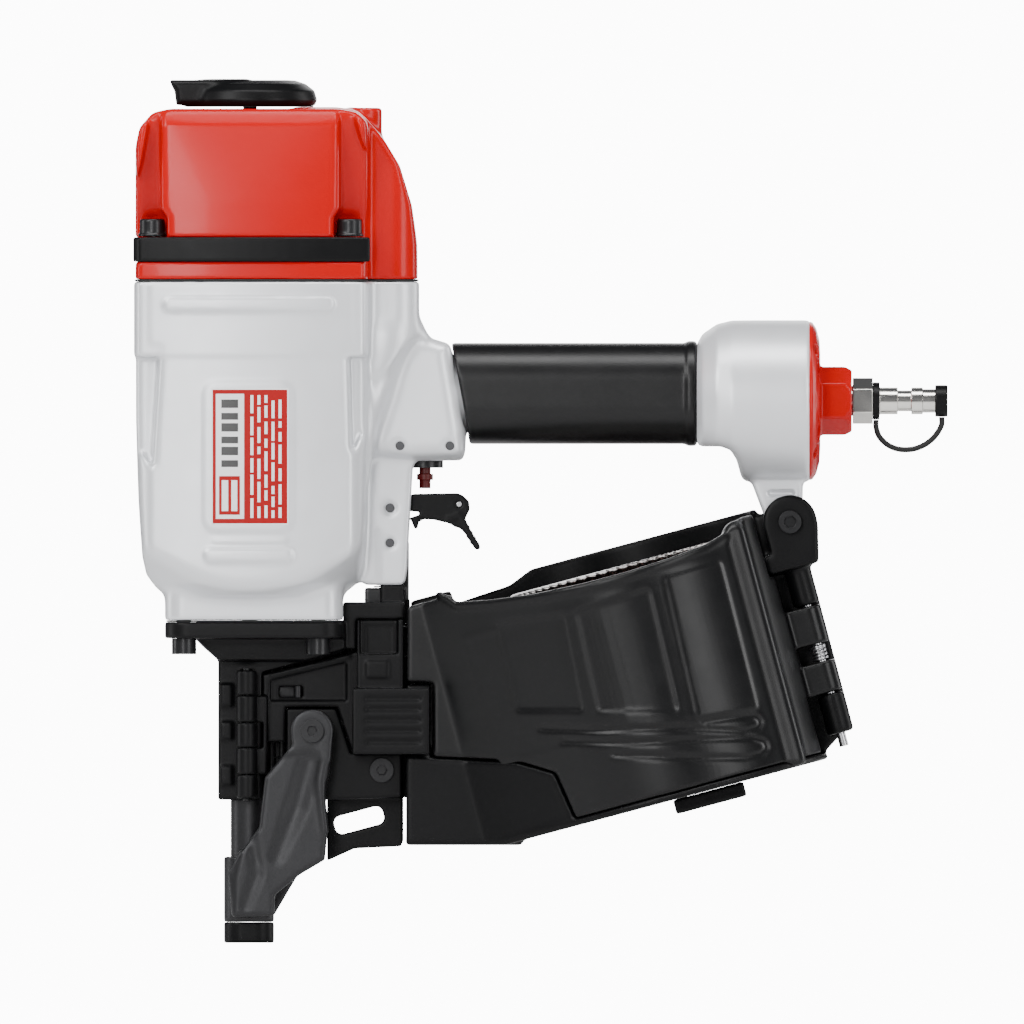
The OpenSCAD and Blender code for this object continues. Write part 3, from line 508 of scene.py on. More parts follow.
def make_body():
    f = Field((-53, -49, 140), (248, 49, 293), 0.8)
    side = poly([(-51, 300), (-50.8, 230), (-49.2, 195), (-47.4, 170), (-45.6, 162), (-41, 155.7),
                 (-37, 152.5), (-37, 130), (41, 130), (41, 152), (45, 154.5), (49.4, 160), (51.2, 185),
                 (52, 228), (52, 300)], 4)
    barrel = both(f.solid("z", (148, 310), crowned(0, 17)), f.solid("y", (-60, 60), side), 3)
    shoulder = poly([(151, -9), (151, 31), (153, 41), (158, 49), (168, 59), (190, 84), (320, 84),
                     (320, -9)], 4)
    f.add(both(barrel, f.lathe("z", (0, 0), shoulder), 4), 0.1)
    f.add(f.solid("z", (120, 172), rect(-37.4, 41, -33, 33, 8)), 3)
    for sign in (-1, 1):
        # pockets under the band at the barrel's corners
        for outline in ([(43.6, 262), (62, 262), (62, 252), (45, 216)],
                        [(-39.6, 262), (-60, 262), (-60, 232), (-43, 210)]):
            f.remove(f.solid("y", tuple(sorted((sign * 60, sign * 35.5))), poly(outline, 0.8)), 3.5)
    f.add(f.solid("z", (257.8, 310), crowned(0, 10), 1.2), 1.2)
    rear_side = poly([(0, 310), (0, 245), (58, 252), (75, 270), (75, 310)], 6)
    f.add(both(f.solid("z", (240, 310), rect(10, 75, -27, 27, 11)), f.solid("y", (-40, 40), rear_side), 2), 5)
    w = f.part((30, -30, 150), (104, 30, 292))
    w.add(w.solid("y", (-20, 20), poly([(40, 216), (71, 213), (94.4, 213.4), (94.5, 226), (88.2, 263.6),
                                        (80, 266), (75, 271), (40, 282)], 4), 7), 7)
    for sign in (-1, 1):
        w.add(w.rod([(60, sign * 20, 266), (56, sign * 21, 246), (49, sign * 25, 226), (44, sign * 27, 200)],
                    [7, 6, 7, 6]), 6)
    w.add(w.solid("y", (-13, 13), poly([(44, 235), (46, 214), (50, 158.5), (51, 157.5), (66.8, 157.5),
                                        (68.4, 159), (69.3, 165), (69.9, 178), (71.7, 209),
                                        (73.5, 212.5), (93.5, 212.5), (94.8, 226), (60, 240)], 1.5),
                  1.2), 2.5)
    f.add(f.solid("y", (-13, 13), rect(34, 56, 159, 182, 1)), 2)
    w = f.part((58, -40, 174), (248, 40, 278))
    w.add(w.solid("x", (60, 205), disc(0, GRIP_Z, 16)), 3)
    chamber = poly([(196.6, -9), (196.6, 25), (199, 29.4), (205.4, 33.8), (212, 35.4), (222, 35.5),
                    (246.9, 35.5), (246.9, -9)], 2.5)
    w.add(w.lathe("x", (0, CHAMBER_Z), chamber), 0.1)
    heel = poly([(190, 190), (190, 218.4), (207, 218.4), (211.4, 216.8), (214, 212.6), (216.4, 204),
                 (216.4, 190)], 2)
    w.remove(w.solid("y", (-60, 60), heel), 3)
    lug = poly([(218, 212), (220.5, 203), (226.5, 187), (230, 184), (243, 184), (243.6, 212)], 2)
    w.add(join(w.solid("y", (-9, 9), lug, 1.5),
               w.solid("y", (-9, 9), disc(237.6, 185.2, 9), 1.5), 1), 1.8)
    for y in (-9, 9):
        w.remove(w.solid("y", (y - 2.4, y + 2.4), rect(228, 239.5, 196.8, 199, 0.8)), 0.4)
    # raised ribs and the border of the name plate follow the surface under them
    f.base = f.d.copy()
    for x0, x1, z0, z1, r, height in ((-38, 37.3, 278, 284, 2.9, 1.1), (-20, 19, 167.5, 173.5, 2.9, 1.1),
                                      (-20.5, 18.5, 181, 247, 6, 0.5), (-16, 16, 176, 177.6, 0.8, 0.5)):
        w = f.part((x0 - 4, -49, z0 - 4), (x1 + 4, 49, z1 + 4))
        w.emboss("y", (-60, 60), rect(x0, x1, z0, z1, r), height, 0.8)
    w = f.part((48, -24, 148), (102, 24, 244))
    w.remove(w.solid("y", (-8, 8), rect(50.2, 110, 140, 203.5, 1)), 0.8)
    w.remove(w.solid("y", (0, 14), rect(53, 66, 140, 168)), 0.5)
    w.remove(w.solid("z", (200, 242), disc(77, 0, 8)), 0.4)
    # countersinks of the pins, each radius with the half width of the casting there
    for at, r, y in ((VALVE_PINS[0], 3, 20.2), (VALVE_PINS[1], 3, 20.2), (GUIDE_PIN, 2.8, 13.4),
                     (TRIGGER_PIN, 3.3, 13.4)):
        w.remove(w.solid("y", (-y - 1, 1 - y), disc(*at, r)), 0.5)
        w.remove(w.solid("y", (y - 1, y + 1), disc(*at, r)), 0.5)
    f.remove(f.solid("z", (186, 320), disc(0, 0, HEAD_BORE)), 0.3)
    f.remove(f.solid("z", (158, 190), disc(0, 0, 31.2)), 0.3)
    f.remove(f.solid("z", (120, 162), disc(0, 0, 12)), 0.3)
    f.keep(f.solid("z", (142, 291), rect(-90, 290, -90, 90), 0.3), 0.3)
    return f.make("body_casting", ["main_body"])


def make_cap():
    f = Field((-53, -49, 290), (77, 49, 370), 0.6)
    side = poly([(-51, 270), (-51, 350), (-48.5, 359), (-43, 365.2), (-35, 367.8), (38, 367.8), (47, 365.5),
                 (55, 358.5), (60, 352), (66, 342), (71.3, 324.7), (73.9, 307), (74.4, 270)], 7)
    front = poly([(-47, 270), (47, 270), (47, 326), (44.2, 360), (40, 367.8), (-40, 367.8), (-44.2, 360),
                  (-47, 326)], 4)
    shape = both(f.solid("y", (-70, 70), side), f.solid("x", (-90, 120), front), 3)
    f.add(both(shape, f.solid("z", (250, 390), crowned(0, 10)), 2.5), 0.1)
    f.add(both(shape, f.solid("z", (250, 390), rect(20, 75, -27, 27, 12)), 2.5), 3)
    f.add(f.solid("z", (340, 367.5), disc(50.5, 0, 7.6), 1.4), 2)
    for sign in (-1, 1):
        slope = f.solid("x", (-90, 120), poly([(sign * 70, 280), (sign * 30.4, 280), (sign * 30.4, 318),
                                               (sign * 40, 362), (sign * 44, 376), (sign * 70, 376)]))
        for outline in ([(-36.6, 302), (-36.6, 319), (-39.2, 323), (-39.4, 374), (-43.6, 364), (-48.2, 340),
                         (-51, 318), (-54, 302)],
                        [(37, 302), (37, 319), (39.4, 323), (39.6, 374), (45.6, 363), (53, 340), (58, 318),
                         (60.6, 307.6), (54, 307.6), (54, 302)]):
            pocket = f.solid("y", tuple(sorted((sign * 70, sign * 20))), poly(outline, 1))
            f.remove(both(pocket, slope, 1.5), 3.4)
        for x in CAP_SCREWS[0]:
            f.remove(f.solid("z", (302, 320), disc(x, sign * CAP_SCREWS[1][1], 6.6), 1), 0.8)
    slab = f.solid("z", (299.5, 310.7), rect(-90, 53, -90, 90), 0.2)
    f.remove(both(slab, -f.solid("z", (250, 390), crowned(-1.8, 10, 70)), 0.2), 0.5)
    f.remove(f.solid("z", (250, 352), disc(0, 0, HEAD_BORE)), 0.3)
    f.remove(f.solid("z", (340, 390), disc(0, 0, 14)), 0.3)
    f.keep(f.solid("z", (292, 400), rect(-90, 90, -90, 90), 0.3), 0.5)
    return f.make("cap_casting", ["cylinder_cap"])


def make_gasket():
    f = Field((-53, -49, 290), (77, 49, 293), 0.5)
    f.add(f.solid("z", (291, 292), crowned(-0.1, 10), 0.1), 0.1)
    f.add(f.solid("z", (291, 292), rect(20, 74.4, -26.8, 26.8, 11), 0.1), 0.2)
    f.remove(f.solid("z", (280, 300), disc(0, 0, HEAD_BORE)), 0.1)
    return f.make("gasket_sheet", ["cap_gasket"], blur=0)


def make_screws():
    """The four socket screws of the cap, on washers."""
    f = Field((-51, -44, 299), (51, 44, 321), 0.45)
    for x in CAP_SCREWS[0]:
        for y in CAP_SCREWS[1]:
            w = f.part((x - 8, y - 8, 299), (x + 8, y + 8, 321))
            w.add(w.solid("z", (311.5, 318.6), disc(x, y, 5.6), 0.8), 0.1)
            w.add(w.solid("z", (310.8, 312), disc(x, y, 6.3), 0.3), 0.2)
            w.remove(w.solid("z", (315, 330), disc(x, y, 2.9), 0.3), 0.2)
            for i in range(24):
                a = i * math.pi / 12
                groove = disc(x + 5.75 * math.cos(a), y + 5.75 * math.sin(a), 0.35)
                w.remove(w.solid("z", (313, 330), groove), 0.3)
    return f.make("cap_screw_heads", ["cap_screws"])


def make_band():
    f = Field.of("cap_band", 0.5)
    outside = f.solid("z", (290, 320), crowned(0.9, 10, 70))
    f.remove(both(-outside, f.solid("z", (302.2, 303.6), rect(-90, 90, -90, 90), 0.2), 0.4), 0.5)
    return f.make("band_moulding", ["cap_band"], blur=2)


def make_deflector():
    f = Field((-37, -31, 367), (31, 31, 381), 0.4)
    bowl = poly([(368.3, -9), (368.3, 28.6), (371, 29.6), (375, 28.4), (378, 24.5), (379.5, 20), (379.7, 16),
                 (379.7, -9)], 1.5)
    f.add(f.lathe("z", (0, 0), bowl))
    duct = poly([(-12, 368.6), (-32.4, 368.6), (-33.2, 374.6), (-35.2, 378.8), (-35, 379.7), (0, 379.7)], 0.8)
    f.add(f.solid("y", (-20, 20), duct, 2.5), 2)
    f.remove(f.solid("y", (-16, 16), rect(-50, -15, 370, 375, 1)), 0.8)
    f.remove(f.solid("z", (350, 373), disc(0, 0, 24.5)), 0.4)
    f.remove(f.solid("z", (350, 390), disc(0, 0, 3.1)), 0.2)
    f.remove(f.solid("z", (377.4, 390), disc(0, 0, 6.4)), 0.4)
    return f.make("exhaust_deflector_shell", ["exhaust_deflector"])


def make_end_cap():
    f = Field((243, -37, 201), (266, 37, 276), 0.4)
    dish = poly([(245.6, -9), (245.6, 35), (247.4, 34.7), (249.2, 32), (250.6, 27.5), (251, 21),
                 (251, -9)], 0.8)
    f.add(f.lathe("x", (0, CHAMBER_Z), dish))
    corners = [(i + 0.5) * math.pi / 3 for i in range(6)]
    hexagon = [(15.24 * math.cos(a), CHAMBER_Z + 15.24 * math.sin(a)) for a in corners]
    cone = poly([(240, -9), (240, 19), (260, 16), (265, 13.4), (265, -9)])
    boss = both(f.solid("x", (246, 264.9), poly(hexagon, 0.8), 0.6), f.lathe("x", (0, CHAMBER_Z), cone), 0.4)
    f.add(boss, 1.2)
    for i in range(4):
        a = (i + 0.5) * math.pi / 2
        y, z = 31 * math.cos(a), CHAMBER_Z + 31 * math.sin(a)
        w = f.part((245, y - 5, z - 5), (253, y + 5, z + 5))
        w.remove(w.solid("x", (248, 256), disc(y, z, 3), 0.5), 0.6)
    w = f.part((248, -36, 202), (253, 36, 275))
    for a in corners:
        spoke = [(r * math.cos(a), CHAMBER_Z + r * math.sin(a)) for r in (20, 27)]
        w.remove(w.solid("x", (249.6, 256), stroke(spoke, 3.2), 0.5), 0.8)
    f.remove(f.solid("x", (240, 270), disc(0, CHAMBER_Z, 6.6)), 0.4)
    return f.make("end_cap_casting", ["end_cap"])


def make_grip():
    f = Field((85, -22, 217), (198, 22, 266), 0.5)
    f.add(f.solid("x", (60, 196.5), rect(-19.5, 19.5, 219.5, 264, 17), 1.5), 0.1)
    f.add(f.solid("x", (192, 196.5), rect(-20.3, 20.3, 218.7, 264.8, 17.8), 1.2), 1.5)
    f.keep(f.solid("y", (-60, 60), poly([(88.1, 275), (88.6, 264), (94.9, 230.6), (96.7, 219), (97, 205),
                                         (210, 205), (210, 275)], 1), 0.5), 1.2)
    f.remove(f.solid("x", (60, 220), disc(0, GRIP_Z, 16.1)), 0.3)
    return f.make("grip_sleeve", ["handle_grip"])


# ---------- magazine ----------
def drum_plan(r, half):
    """Plan of the magazine: a drum with a neck that runs to the nose."""
    neck = 112
    reach = math.hypot(neck - DRUM_X, half)
    a = math.atan2(half, neck - DRUM_X) - math.acos(r / reach)
    turn = np.linspace(a, -a, 90)
    return poly([(60, half), (neck, half)] + [(DRUM_X + r * math.cos(t), r * math.sin(t)) for t in turn]
                + [(neck, -half), (60, -half)])


def make_cover():
    f = Field.of("magazine_cover", 0.7, tilted=True)
    plan, inner = drum_plan(66, 18.6), drum_plan(64, 16.6)
    w = f.part((118, -67, 40), (244, -30, 110))
    shell = w.solid("z", (30, 120), plan)
    w.d[...] = join(w.d, both(both(shell, -w.solid("z", (20, 130), inner), 0.5),
                              w.solid("y", (-80, -20), rect(124, 244, 46, 106)), 0.5), 0.5)
    # pillar beside the hinge and the bead under the rim
    w = f.part((244, -52, 8), (262, -24, 126))
    w.add(w.rod([(252.5, -38.6, 16), (252.5, -38.6, 119)], [4.6, 4.6]), 5)
    front = f.part((112, -67, 8), (258, 0, 126))
    skin = np.maximum(front.solid("z", (0, 130), plan), front.axes[1][None, :, None] + 8)
    # rim, three panels and the two looped lines on the near side
    rim = [(120, 127), (126, 119.9), (141, 116.8), (160, 114.3), (182, 112.8), (202, 112.8), (222, 114),
           (239, 115.8), (250, 119), (256, 123)]
    front.add(both(both(skin - 0.9, -front.solid("z", (0, 130), inner), 0.5),
                   front.solid("y", (-80, -8), stroke(rim, 1.5)), 1.2), 1.2)
    panels = ([(108.6, 140.7), (138.2, 144.6), (146.6, 102), (117.6, 102)],
              [(143.4, 145.6), (175.6, 156.2), (188.5, 102), (153.5, 102)],
              [(182.7, 160.7), (207.2, 167.8), (223.6, 103.3), (196.8, 98.8)])
    for outline, height in zip(panels, (-0.8, -0.8, 0.9)):
        area = poly(to_tilted(outline), 1.5)
        if height > 0:
            skin_there = np.maximum(skin - height, -front.solid("z", (0, 130), inner))
            front.add(both(skin_there, front.solid("y", (-80, -10), area), 0.9), 0.9)
        else:
            front.emboss("y", (-80, -10), area, height, 0.9, skin)
    for line in ([(128, 94.5), (150, 93.6), (190, 94.6), (218, 93), (223.6, 94.6), (225, 97.3), (222.6, 99.6),
                  (214, 99.2), (200, 97)],
                 [(138, 88.9), (170, 88), (205, 89.6), (221, 90.2), (226.4, 88.6), (227.6, 85.8), (225, 83),
                  (218, 81.4), (195, 81.2), (160, 83)]):
        front.emboss("y", (-80, -10), stroke(to_tilted(line), 0.9), -1.1, 0.9, skin)
    return f.make("cover_moulding", ["magazine_cover"], blur=2)


def make_magazine():
    f = Field.of("magazine_body", 0.8, tilted=True)
    # ribs round the far side of the drum and a raised field on it
    w = f.part((118, 20, 20), (262, 68, 120))
    for level in (24, 30, 36):
        w.emboss("y", (12, 80), stroke([(150, level), (244, level)], 1.1), 0.7, 1.2)
    w.emboss("y", (12, 80), rect(168, 232, 48, 104, 4), 0.6, 1)
    corner = poly(to_tilted([(250, 200), (250.3, 166), (264, 161), (264, 200)]), 2)
    f.remove(f.solid("y", (-20, 20), corner), 0.8)
    # square block on top of the neck
    w = f.part((100, -32, 112), (130, 32, 136))
    w.remove(w.solid("y", (-40, 40), rect(98, 128, 126.9, 145)), 0.3)
    w.add(w.solid("y", (8, 18.6), rect(106.8, 125.5, 118, 126.8, 0.3)), 0.3)
    f.keep(f.solid("y", (-66, 66), rect(0, 400, 0, 300)), 0.2)
    return f.make("magazine_moulding", ["magazine_body"], blur=2)


# ---------- nose, door, latch and contact foot ----------
def make_nose():
    points = Field.points_of("nose_body", False)
    f = Field(points.min(0) - 2, points.max(0) + 12, 0.5)
    f.d[...] = f.mesh_of("nose_body")
    w = f.part((-17, -12, 60), (8, 12, 128))
    for x0, x1, z0, z1 in ((-13.2, -7.6, 89.5, 97.4), (-13.2, -7.6, 69.4, 78), (-13.2, -7.6, 104, 114)):
        w.add(w.solid("y", (-10.2, 10.2), rect(x0, x1, z0, z1, 0.8), 0.8), 0.8)
    w = f.part((-30, -18, 122), (44, 18, 142))
    w.add(w.solid("y", (-15, 15), poly([(-25, 138), (-19, 131), (-11, 125.6), (28, 125.6), (40, 131),
                                        (40, 138)], 5), 4), 4)
    w.remove(w.solid("z", (110, 126.5), disc(0, 0, 4.3)), 0.2)
    # dark plates that close the sight lines beside the latch and under its catch, standing in for the shade
    # seen through those gaps
    w = f.part((42, -13, 60), (72, 17, 160))
    w.add(w.solid("y", (-12, -8.2), rect(57.2, 67.8, 146, 158)), 0.3)
    w.add(w.solid("y", (10, 15.3), rect(66, 70.4, 64, 151.5)), 0.3)
    w.add(w.solid("y", (-9.4, -7.6), rect(44, 67.6, 134.3, 148)), 0.3)
    f.remove(f.solid("z", (10, 63), disc(0, 0, 9)), 0.3)
    f.make("nose_casting", ["nose_body"], blur=2)
    f = Field((-10, -10, 18), (10, 10, 65), 0.5)
    f.add(f.solid("z", (20, 64), disc(0, 0, 8.5)))
    f.remove(f.solid("z", (10, 80), disc(0, 0, 4)), 0.2)
    f.make("nose_tube", [], look="foot_steel", body="frame")


def make_door():
    f = Field.of("door", 0.4)
    f.base = f.d.copy()
    w = f.part((5, -11, 104), (46, -7, 130))
    w.emboss("y", (-14, -8), stroke([(9.6, 117.6), (43.5, 126)], 0.8), 0.5, 0.6)
    return f.make("door_casting", ["door"], blur=2)


def make_latch():
    f = Field.of("latch", 0.4)
    f.base = f.d.copy()
    w = f.part((45, -26, 83), (80, -20, 112))
    for z in (88.4, 93.2, 98, 102.8, 107.4):
        w.emboss("y", (-40, -21), rect(51, 75, z - 0.9, z + 0.9, 0.8), -0.6, 0.6)
    w = f.part((46, -20, 112), (69, -9, 144))
    w.emboss("y", (-40, -12), rect(51, 61, 116.6, 124, 1), 0.5, 0.6)
    w.remove(w.solid("y", (-30, -12.4), rect(48.4, 65, 127.2, 150, 0.6)), 0.5)
    return f.make("latch_moulding", ["latch"], blur=2)


def make_foot():
    f = Field.of("contact_foot", 0.5)
    near = f.part((-13, -26, 8), (42, -15, 106))
    # the face falls away from a raised eye, and a shallow valley runs down from it
    face = poly([(-20, 5), (-20, 68), (3, 74), (16, 82), (22, 82.5), (33, 80), (50, 70), (50, 5)])
    near.remove(near.solid("y", (-40, -23), face, 0.4), 2.5)
    near.add(both(near.rod([(33.6, -22.4, 88), (30.8, -22.2, 72), (31.8, -22, 62), (33, -21.6, 50)],
                           [2.2, 1.9, 1.7, 1.5]), near.solid("y", (-24, 0), rect(-50, 34.4, 0, 200)), 0.6), 2)
    near.remove(near.rod([(26, -28.4, 80), (20.5, -28.6, 60), (12, -28.8, 38)], [6.4, 7, 6]), 2)
    near.remove(near.rod([(1, -25.6, 46), (3, -25.6, 30), (-2, -25.6, 16)], [3, 3.4, 3]), 2)
    boss = poly([(-8, 11), (-9.5, 30), (-4, 42), (8, 30), (10.4, 12)], 3)
    near.add(near.solid("y", (-21.5, -9.6), boss, 1), 2)
    near.remove(near.solid("y", (-40, -10), disc(27.3, 93.3, 2.6)), 0.3)
    near.keep(near.solid("y", (-24, 40), rect(-100, 200, 0, 300)), 0.5)
    f.remove(f.solid("z", (5, 45), disc(0, 0, 8.6)), 0.2)
    return f.make("contact_foot_casting", ["contact_foot"], blur=2)


def make_moulded(node, step):
    """A node whose CAD form only needs its edges rounded."""
    return Field.of(node, step).make(node + "_form", [node], blur=2)


# ---------- trigger ----------
def make_trigger():
    f = Field.of("trigger", 0.35)
    tail = [(86, 184.9), (91.7, 182.7), (94, 181.2), (99, 173.2), (100.6, 172.9), (101.4, 174), (96.6, 182.6),
            (94.8, 186.4), (92, 190), (86, 188)]
    f.add(f.solid("y", (-6.6, 6.6), poly(tail, 0.6)), 0.5)
    nub = poly([(70.2, 188), (72.4, 181.9), (74, 182.2), (74.6, 188)], 0.3)
    f.add(f.solid("y", (-6.6, 6.6), nub, 0.3), 0.5)
    outline = [(55, 200), (55, 184), (63, 185.8), (70.6, 185.2), (72.5, 181.9), (73.8, 182.4), (74.4, 185),
               (76.3, 186.4), (80.5, 186.2), (86.6, 184.8), (91.7, 182.6), (93.8, 181.2), (98.8, 173),
               (100.6, 172.6), (101.6, 174), (96.6, 182.6), (94.8, 186.6), (96.8, 190.8), (96.6, 194.4),
               (93.6, 197), (89.6, 198.8), (60, 198.8)]
    f.keep(f.solid("y", (-7, 7), poly(outline, 0.8)), 0.4)
    notch = poly([(69.6, 190), (74.6, 189.6), (74.4, 188.4), (69.6, 186.8)], 0.5)
    f.remove(f.solid("y", (-8, 8), notch), 0.3)
    f.remove(f.solid("y", (-10, 10), disc(*TRIGGER_PIN, 2.5)), 0.1)
    f.base = f.d.copy()
    for z in (176, 178.4, 180.8, 183.2):
        w = f.part((90, -8, z - 2), (104, 8, z + 2))
        w.emboss("z", (z - 0.5, z + 0.5), rect(86, 110, -4.4, 4.4, 1), 0.4, 0.4)
    return f.make("trigger_moulding", ["trigger"], blur=2)


# ---------- name plate ----------
def plate_y(x, grow=0.0):
    """Height of the near side of the barrel under the plate."""
    return -(math.sqrt((CROWN + grow) ** 2 - (x - 0.5) ** 2) - CROWN + 47)


def make_label():
    points, faces, looks = [], [], []

    def patch(x0, x1, z0, z1, level, look):
        n = max(2, int((x1 - x0) / 1.5))
        start = len(points)
        for i in range(n + 1):
            x = x0 + (x1 - x0) * i / n
            for depth in (0.02, 0.6 + level * 0.06):
                for z in (z0, z1):
                    points.append((x, plate_y(x, depth), z))
        for i in range(n):
            a = start + 4 * i
            b = a + 4
            faces.extend([(a + 2, b + 2, b + 3, a + 3), (a, a + 1, b + 1, b), (a + 1, a + 3, b + 3, b + 1),
                          (a, b, b + 2, a + 2)])
        last = start + 4 * n
        faces.extend([(start, start + 2, start + 3, start + 1), (last, last + 1, last + 3, last + 2)])
        looks.extend([look] * (len(faces) - len(looks)))

    patch(-17, 17, 184, 244, 0, 1)
    patch(-16.4, 16.4, 184.6, 243.4, 1, 0)
    patch(-15, -2.6, 186.6, 241.6, 2, 1)
    patch(-13.6, -4.4, 188.4, 205.4, 3, 0)
    for x0, x1 in ((-12.4, -9.6), (-8.2, -5.6)):
        patch(x0, x1, 190, 203.6, 4, 1)
    for i in range(6):
        patch(-12.6, -5.2, 209.4 + 5.2 * i, 212.4 + 5.2 * i + 0.7 * (i % 2), 3, 2)
    random = np.random.default_rng(4)
    for x in (0.2, 3.3, 6.4, 9.5, 12.6):
        z = 187
        while z < 238:
            run = random.uniform(2, 9)
            patch(x, x + 1.3, z, min(241, z + run), 2, 1)
            z += run + random.uniform(0.9, 2.2)
    label = mesh_piece("name_plate_print", points, faces, ["name_plate"], smooth=False)
    label.data.materials.append(MATERIALS["label_white"])
    label.data.materials.append(MATERIALS["label_black"])
    # mesh_piece may have turned every face over, which leaves their order alone
    label.data.polygons.foreach_set("material_index", looks)
    return label


# ---------- nails, wires and springs ----------
def tube(path, radius, sides=6):
    """Points and faces of a round wire along a path."""
    path = np.asarray(path, float)
    along = np.gradient(path, axis=0)
    along /= np.linalg.norm(along, axis=1)[:, None]
    side = np.cross(along, [0.13, 0.31, 0.94])
    side /= np.linalg.norm(side, axis=1)[:, None]
    up = np.cross(along, side)
    turn = np.arange(sides) * 2 * math.pi / sides
    rings = path[:, None] + radius * (np.cos(turn)[None, :, None] * side[:, None]
                                      + np.sin(turn)[None, :, None] * up[:, None])
    points = rings.reshape(-1, 3)
    faces = []
    for i in range(len(path) - 1):
        for j in range(sides):
            k = (j + 1) % sides
            faces.append((i * sides + j, i * sides + k, (i + 1) * sides + k, (i + 1) * sides + j))
    end = (len(path) - 1) * sides
    faces += [tuple(range(sides))[::-1], tuple(end + j for j in range(sides))]
    return points, faces


def merged(pieces):
    points, faces, start = [], [], 0
    for p, f in pieces:
        points.append(np.asarray(p, float))
        faces += [tuple(i + start for i in face) for face in f]
        start += len(p)
    return np.concatenate(points), faces


def nail(head, tip):
    """One nail with a flat round head and a pointed tip, between two points in millimetres."""
    head, tip = np.array(head, float), np.array(tip, float)
    axis = (tip - head) / np.linalg.norm(tip - head)
    side = np.cross(axis, [0, 1, 0])
    side /= np.linalg.norm(side)
    up = np.cross(axis, side)
    turn = np.arange(10) * math.pi / 5
    ring = np.cos(turn)[:, None] * side + np.sin(turn)[:, None] * up
    length = np.linalg.norm(tip - head)
    profile = [(0, 0.4), (0, 2.6), (0.25, 2.8), (0.8, 2.8), (1.1, 2.4), (1.5, 1.3), (length - 3.5, 1.3),
               (length, 0.15)]
    points = np.concatenate([head + axis * d + ring * r for d, r in profile])
    faces = [tuple(range(10)), tuple(range(len(points) - 10, len(points)))[::-1]]
    for i in range(len(profile) - 1):
        for j in range(10):
            k = (j + 1) % 10
            faces.append((i * 10 + j, (i + 1) * 10 + j, (i + 1) * 10 + k, i * 10 + k))
    return points, faces


def make_coil():
    """The coil: nails along a spiral, leaning along it, joined by two pairs of thin wires."""
    drop, lean = NAIL * math.cos(TILT), NAIL * math.sin(TILT)
    nails, wires = [], {(h, s): [] for h in (0.3, 0.7) for s in (-1.5, 1.5)}
    r, a = 49.4, 0.4
    while r > 13.5:
        radial = np.array([math.cos(a), math.sin(a), 0])
        along = np.array([-math.sin(a), math.cos(a), 0])
        centre = np.array([DRUM_X, 0, COIL_TOP]) + radial * r
        head = centre + along * lean / 2
        tip = centre - along * lean / 2 - np.array([0, 0, drop - 0.3])
        nails.append(nail(*to_tilted([head, tip], -1)))
        for (h, s), path in wires.items():
            path.append(head + (tip - head) * h + radial * s)
        step = 4.6 / r
        a += step
        r -= 6.2 * step / (2 * math.pi)
    mesh_piece("coil_nails", *merged(nails), ["nail_coil"])
    tubes = [tube(to_tilted(path, -1), 0.42, 5) for path in wires.values()]
    mesh_piece("coil_wires", *merged(tubes), [], look="wire_copper", body="nail_coil")


def make_strip():
    nails = []
    first, count = 9.6, 23
    for i in range(count):
        x = first + NAIL_PITCH * i
        z = STRIP_Z + x * math.tan(TILT)
        nails.append(nail((x, 0, z + NAIL), (x, 0, z)))
    for w in (76, 104):
        u = (first + w * math.sin(TILT)) / math.cos(TILT)
        line = [(u + t, 0, w) for t in np.linspace(0, (count - 1) * NAIL_PITCH / math.cos(TILT), 12)]
        nails.append(tube(to_tilted(line, -1), 0.4, 5))
    # the strip's nails take the darker nail colour, which is painted shade
    return mesh_piece("strip_nails", *merged(nails), ["nail_strip"], look="strip_nail_shade")


def make_pins():
    """The roll pins that hold the valve and guide the contact arm."""
    pins = []
    for (x, z), reach in ((VALVE_PINS[0], 19.9), (VALVE_PINS[1], 19.9), (GUIDE_PIN, 13.2)):
        pins.append(tube([(x, y, z) for y in np.linspace(1 - reach, reach - 1, 4)], 1.45, 20))
        for y in (-reach, reach - 4):
            pins.append(tube([(x, y, z), (x, y + 2, z), (x, y + 4, z)], 1.98, 20))
    return mesh_piece("pins", *merged(pins), ["valve_roll_pins"], look="pin_steel", smooth=False)


def make_spring(node, axis, wire, turns, joint=None, anchor=None, tilted=False):
    """A coil spring in the room of the CAD's tube, with closed ends."""
    points = Field.points_of(node, tilted)
    low, high = points.min(0), points.max(0)
    i = "xyz".index(axis)
    j, k = [n for n in range(3) if n != i]
    radius = (high[j] - low[j]) / 2 - wire
    t = np.linspace(0, 1, turns * 18)
    closed = np.clip((t * turns - 0.8) / (turns - 1.6), 0, 1)
    path = np.zeros((len(t), 3))
    path[:, i] = low[i] + wire + (high[i] - low[i] - 2 * wire) * (0.03 * t + 0.97 * closed)
    path[:, j] = (low[j] + high[j]) / 2 + radius * np.cos(2 * math.pi * turns * t)
    path[:, k] = (low[k] + high[k]) / 2 + radius * np.sin(2 * math.pi * turns * t)
    if tilted:
        path = to_tilted(path, -1)
    spring = mesh_piece(node + "_wire", *tube(path, wire, 8), [node])
    if joint:
        at = [(low[n] + high[n]) / 2 * MM for n in range(3)]
        at[i] = (low[i] if anchor < 0 else high[i]) * MM
        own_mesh(spring)
    return spring


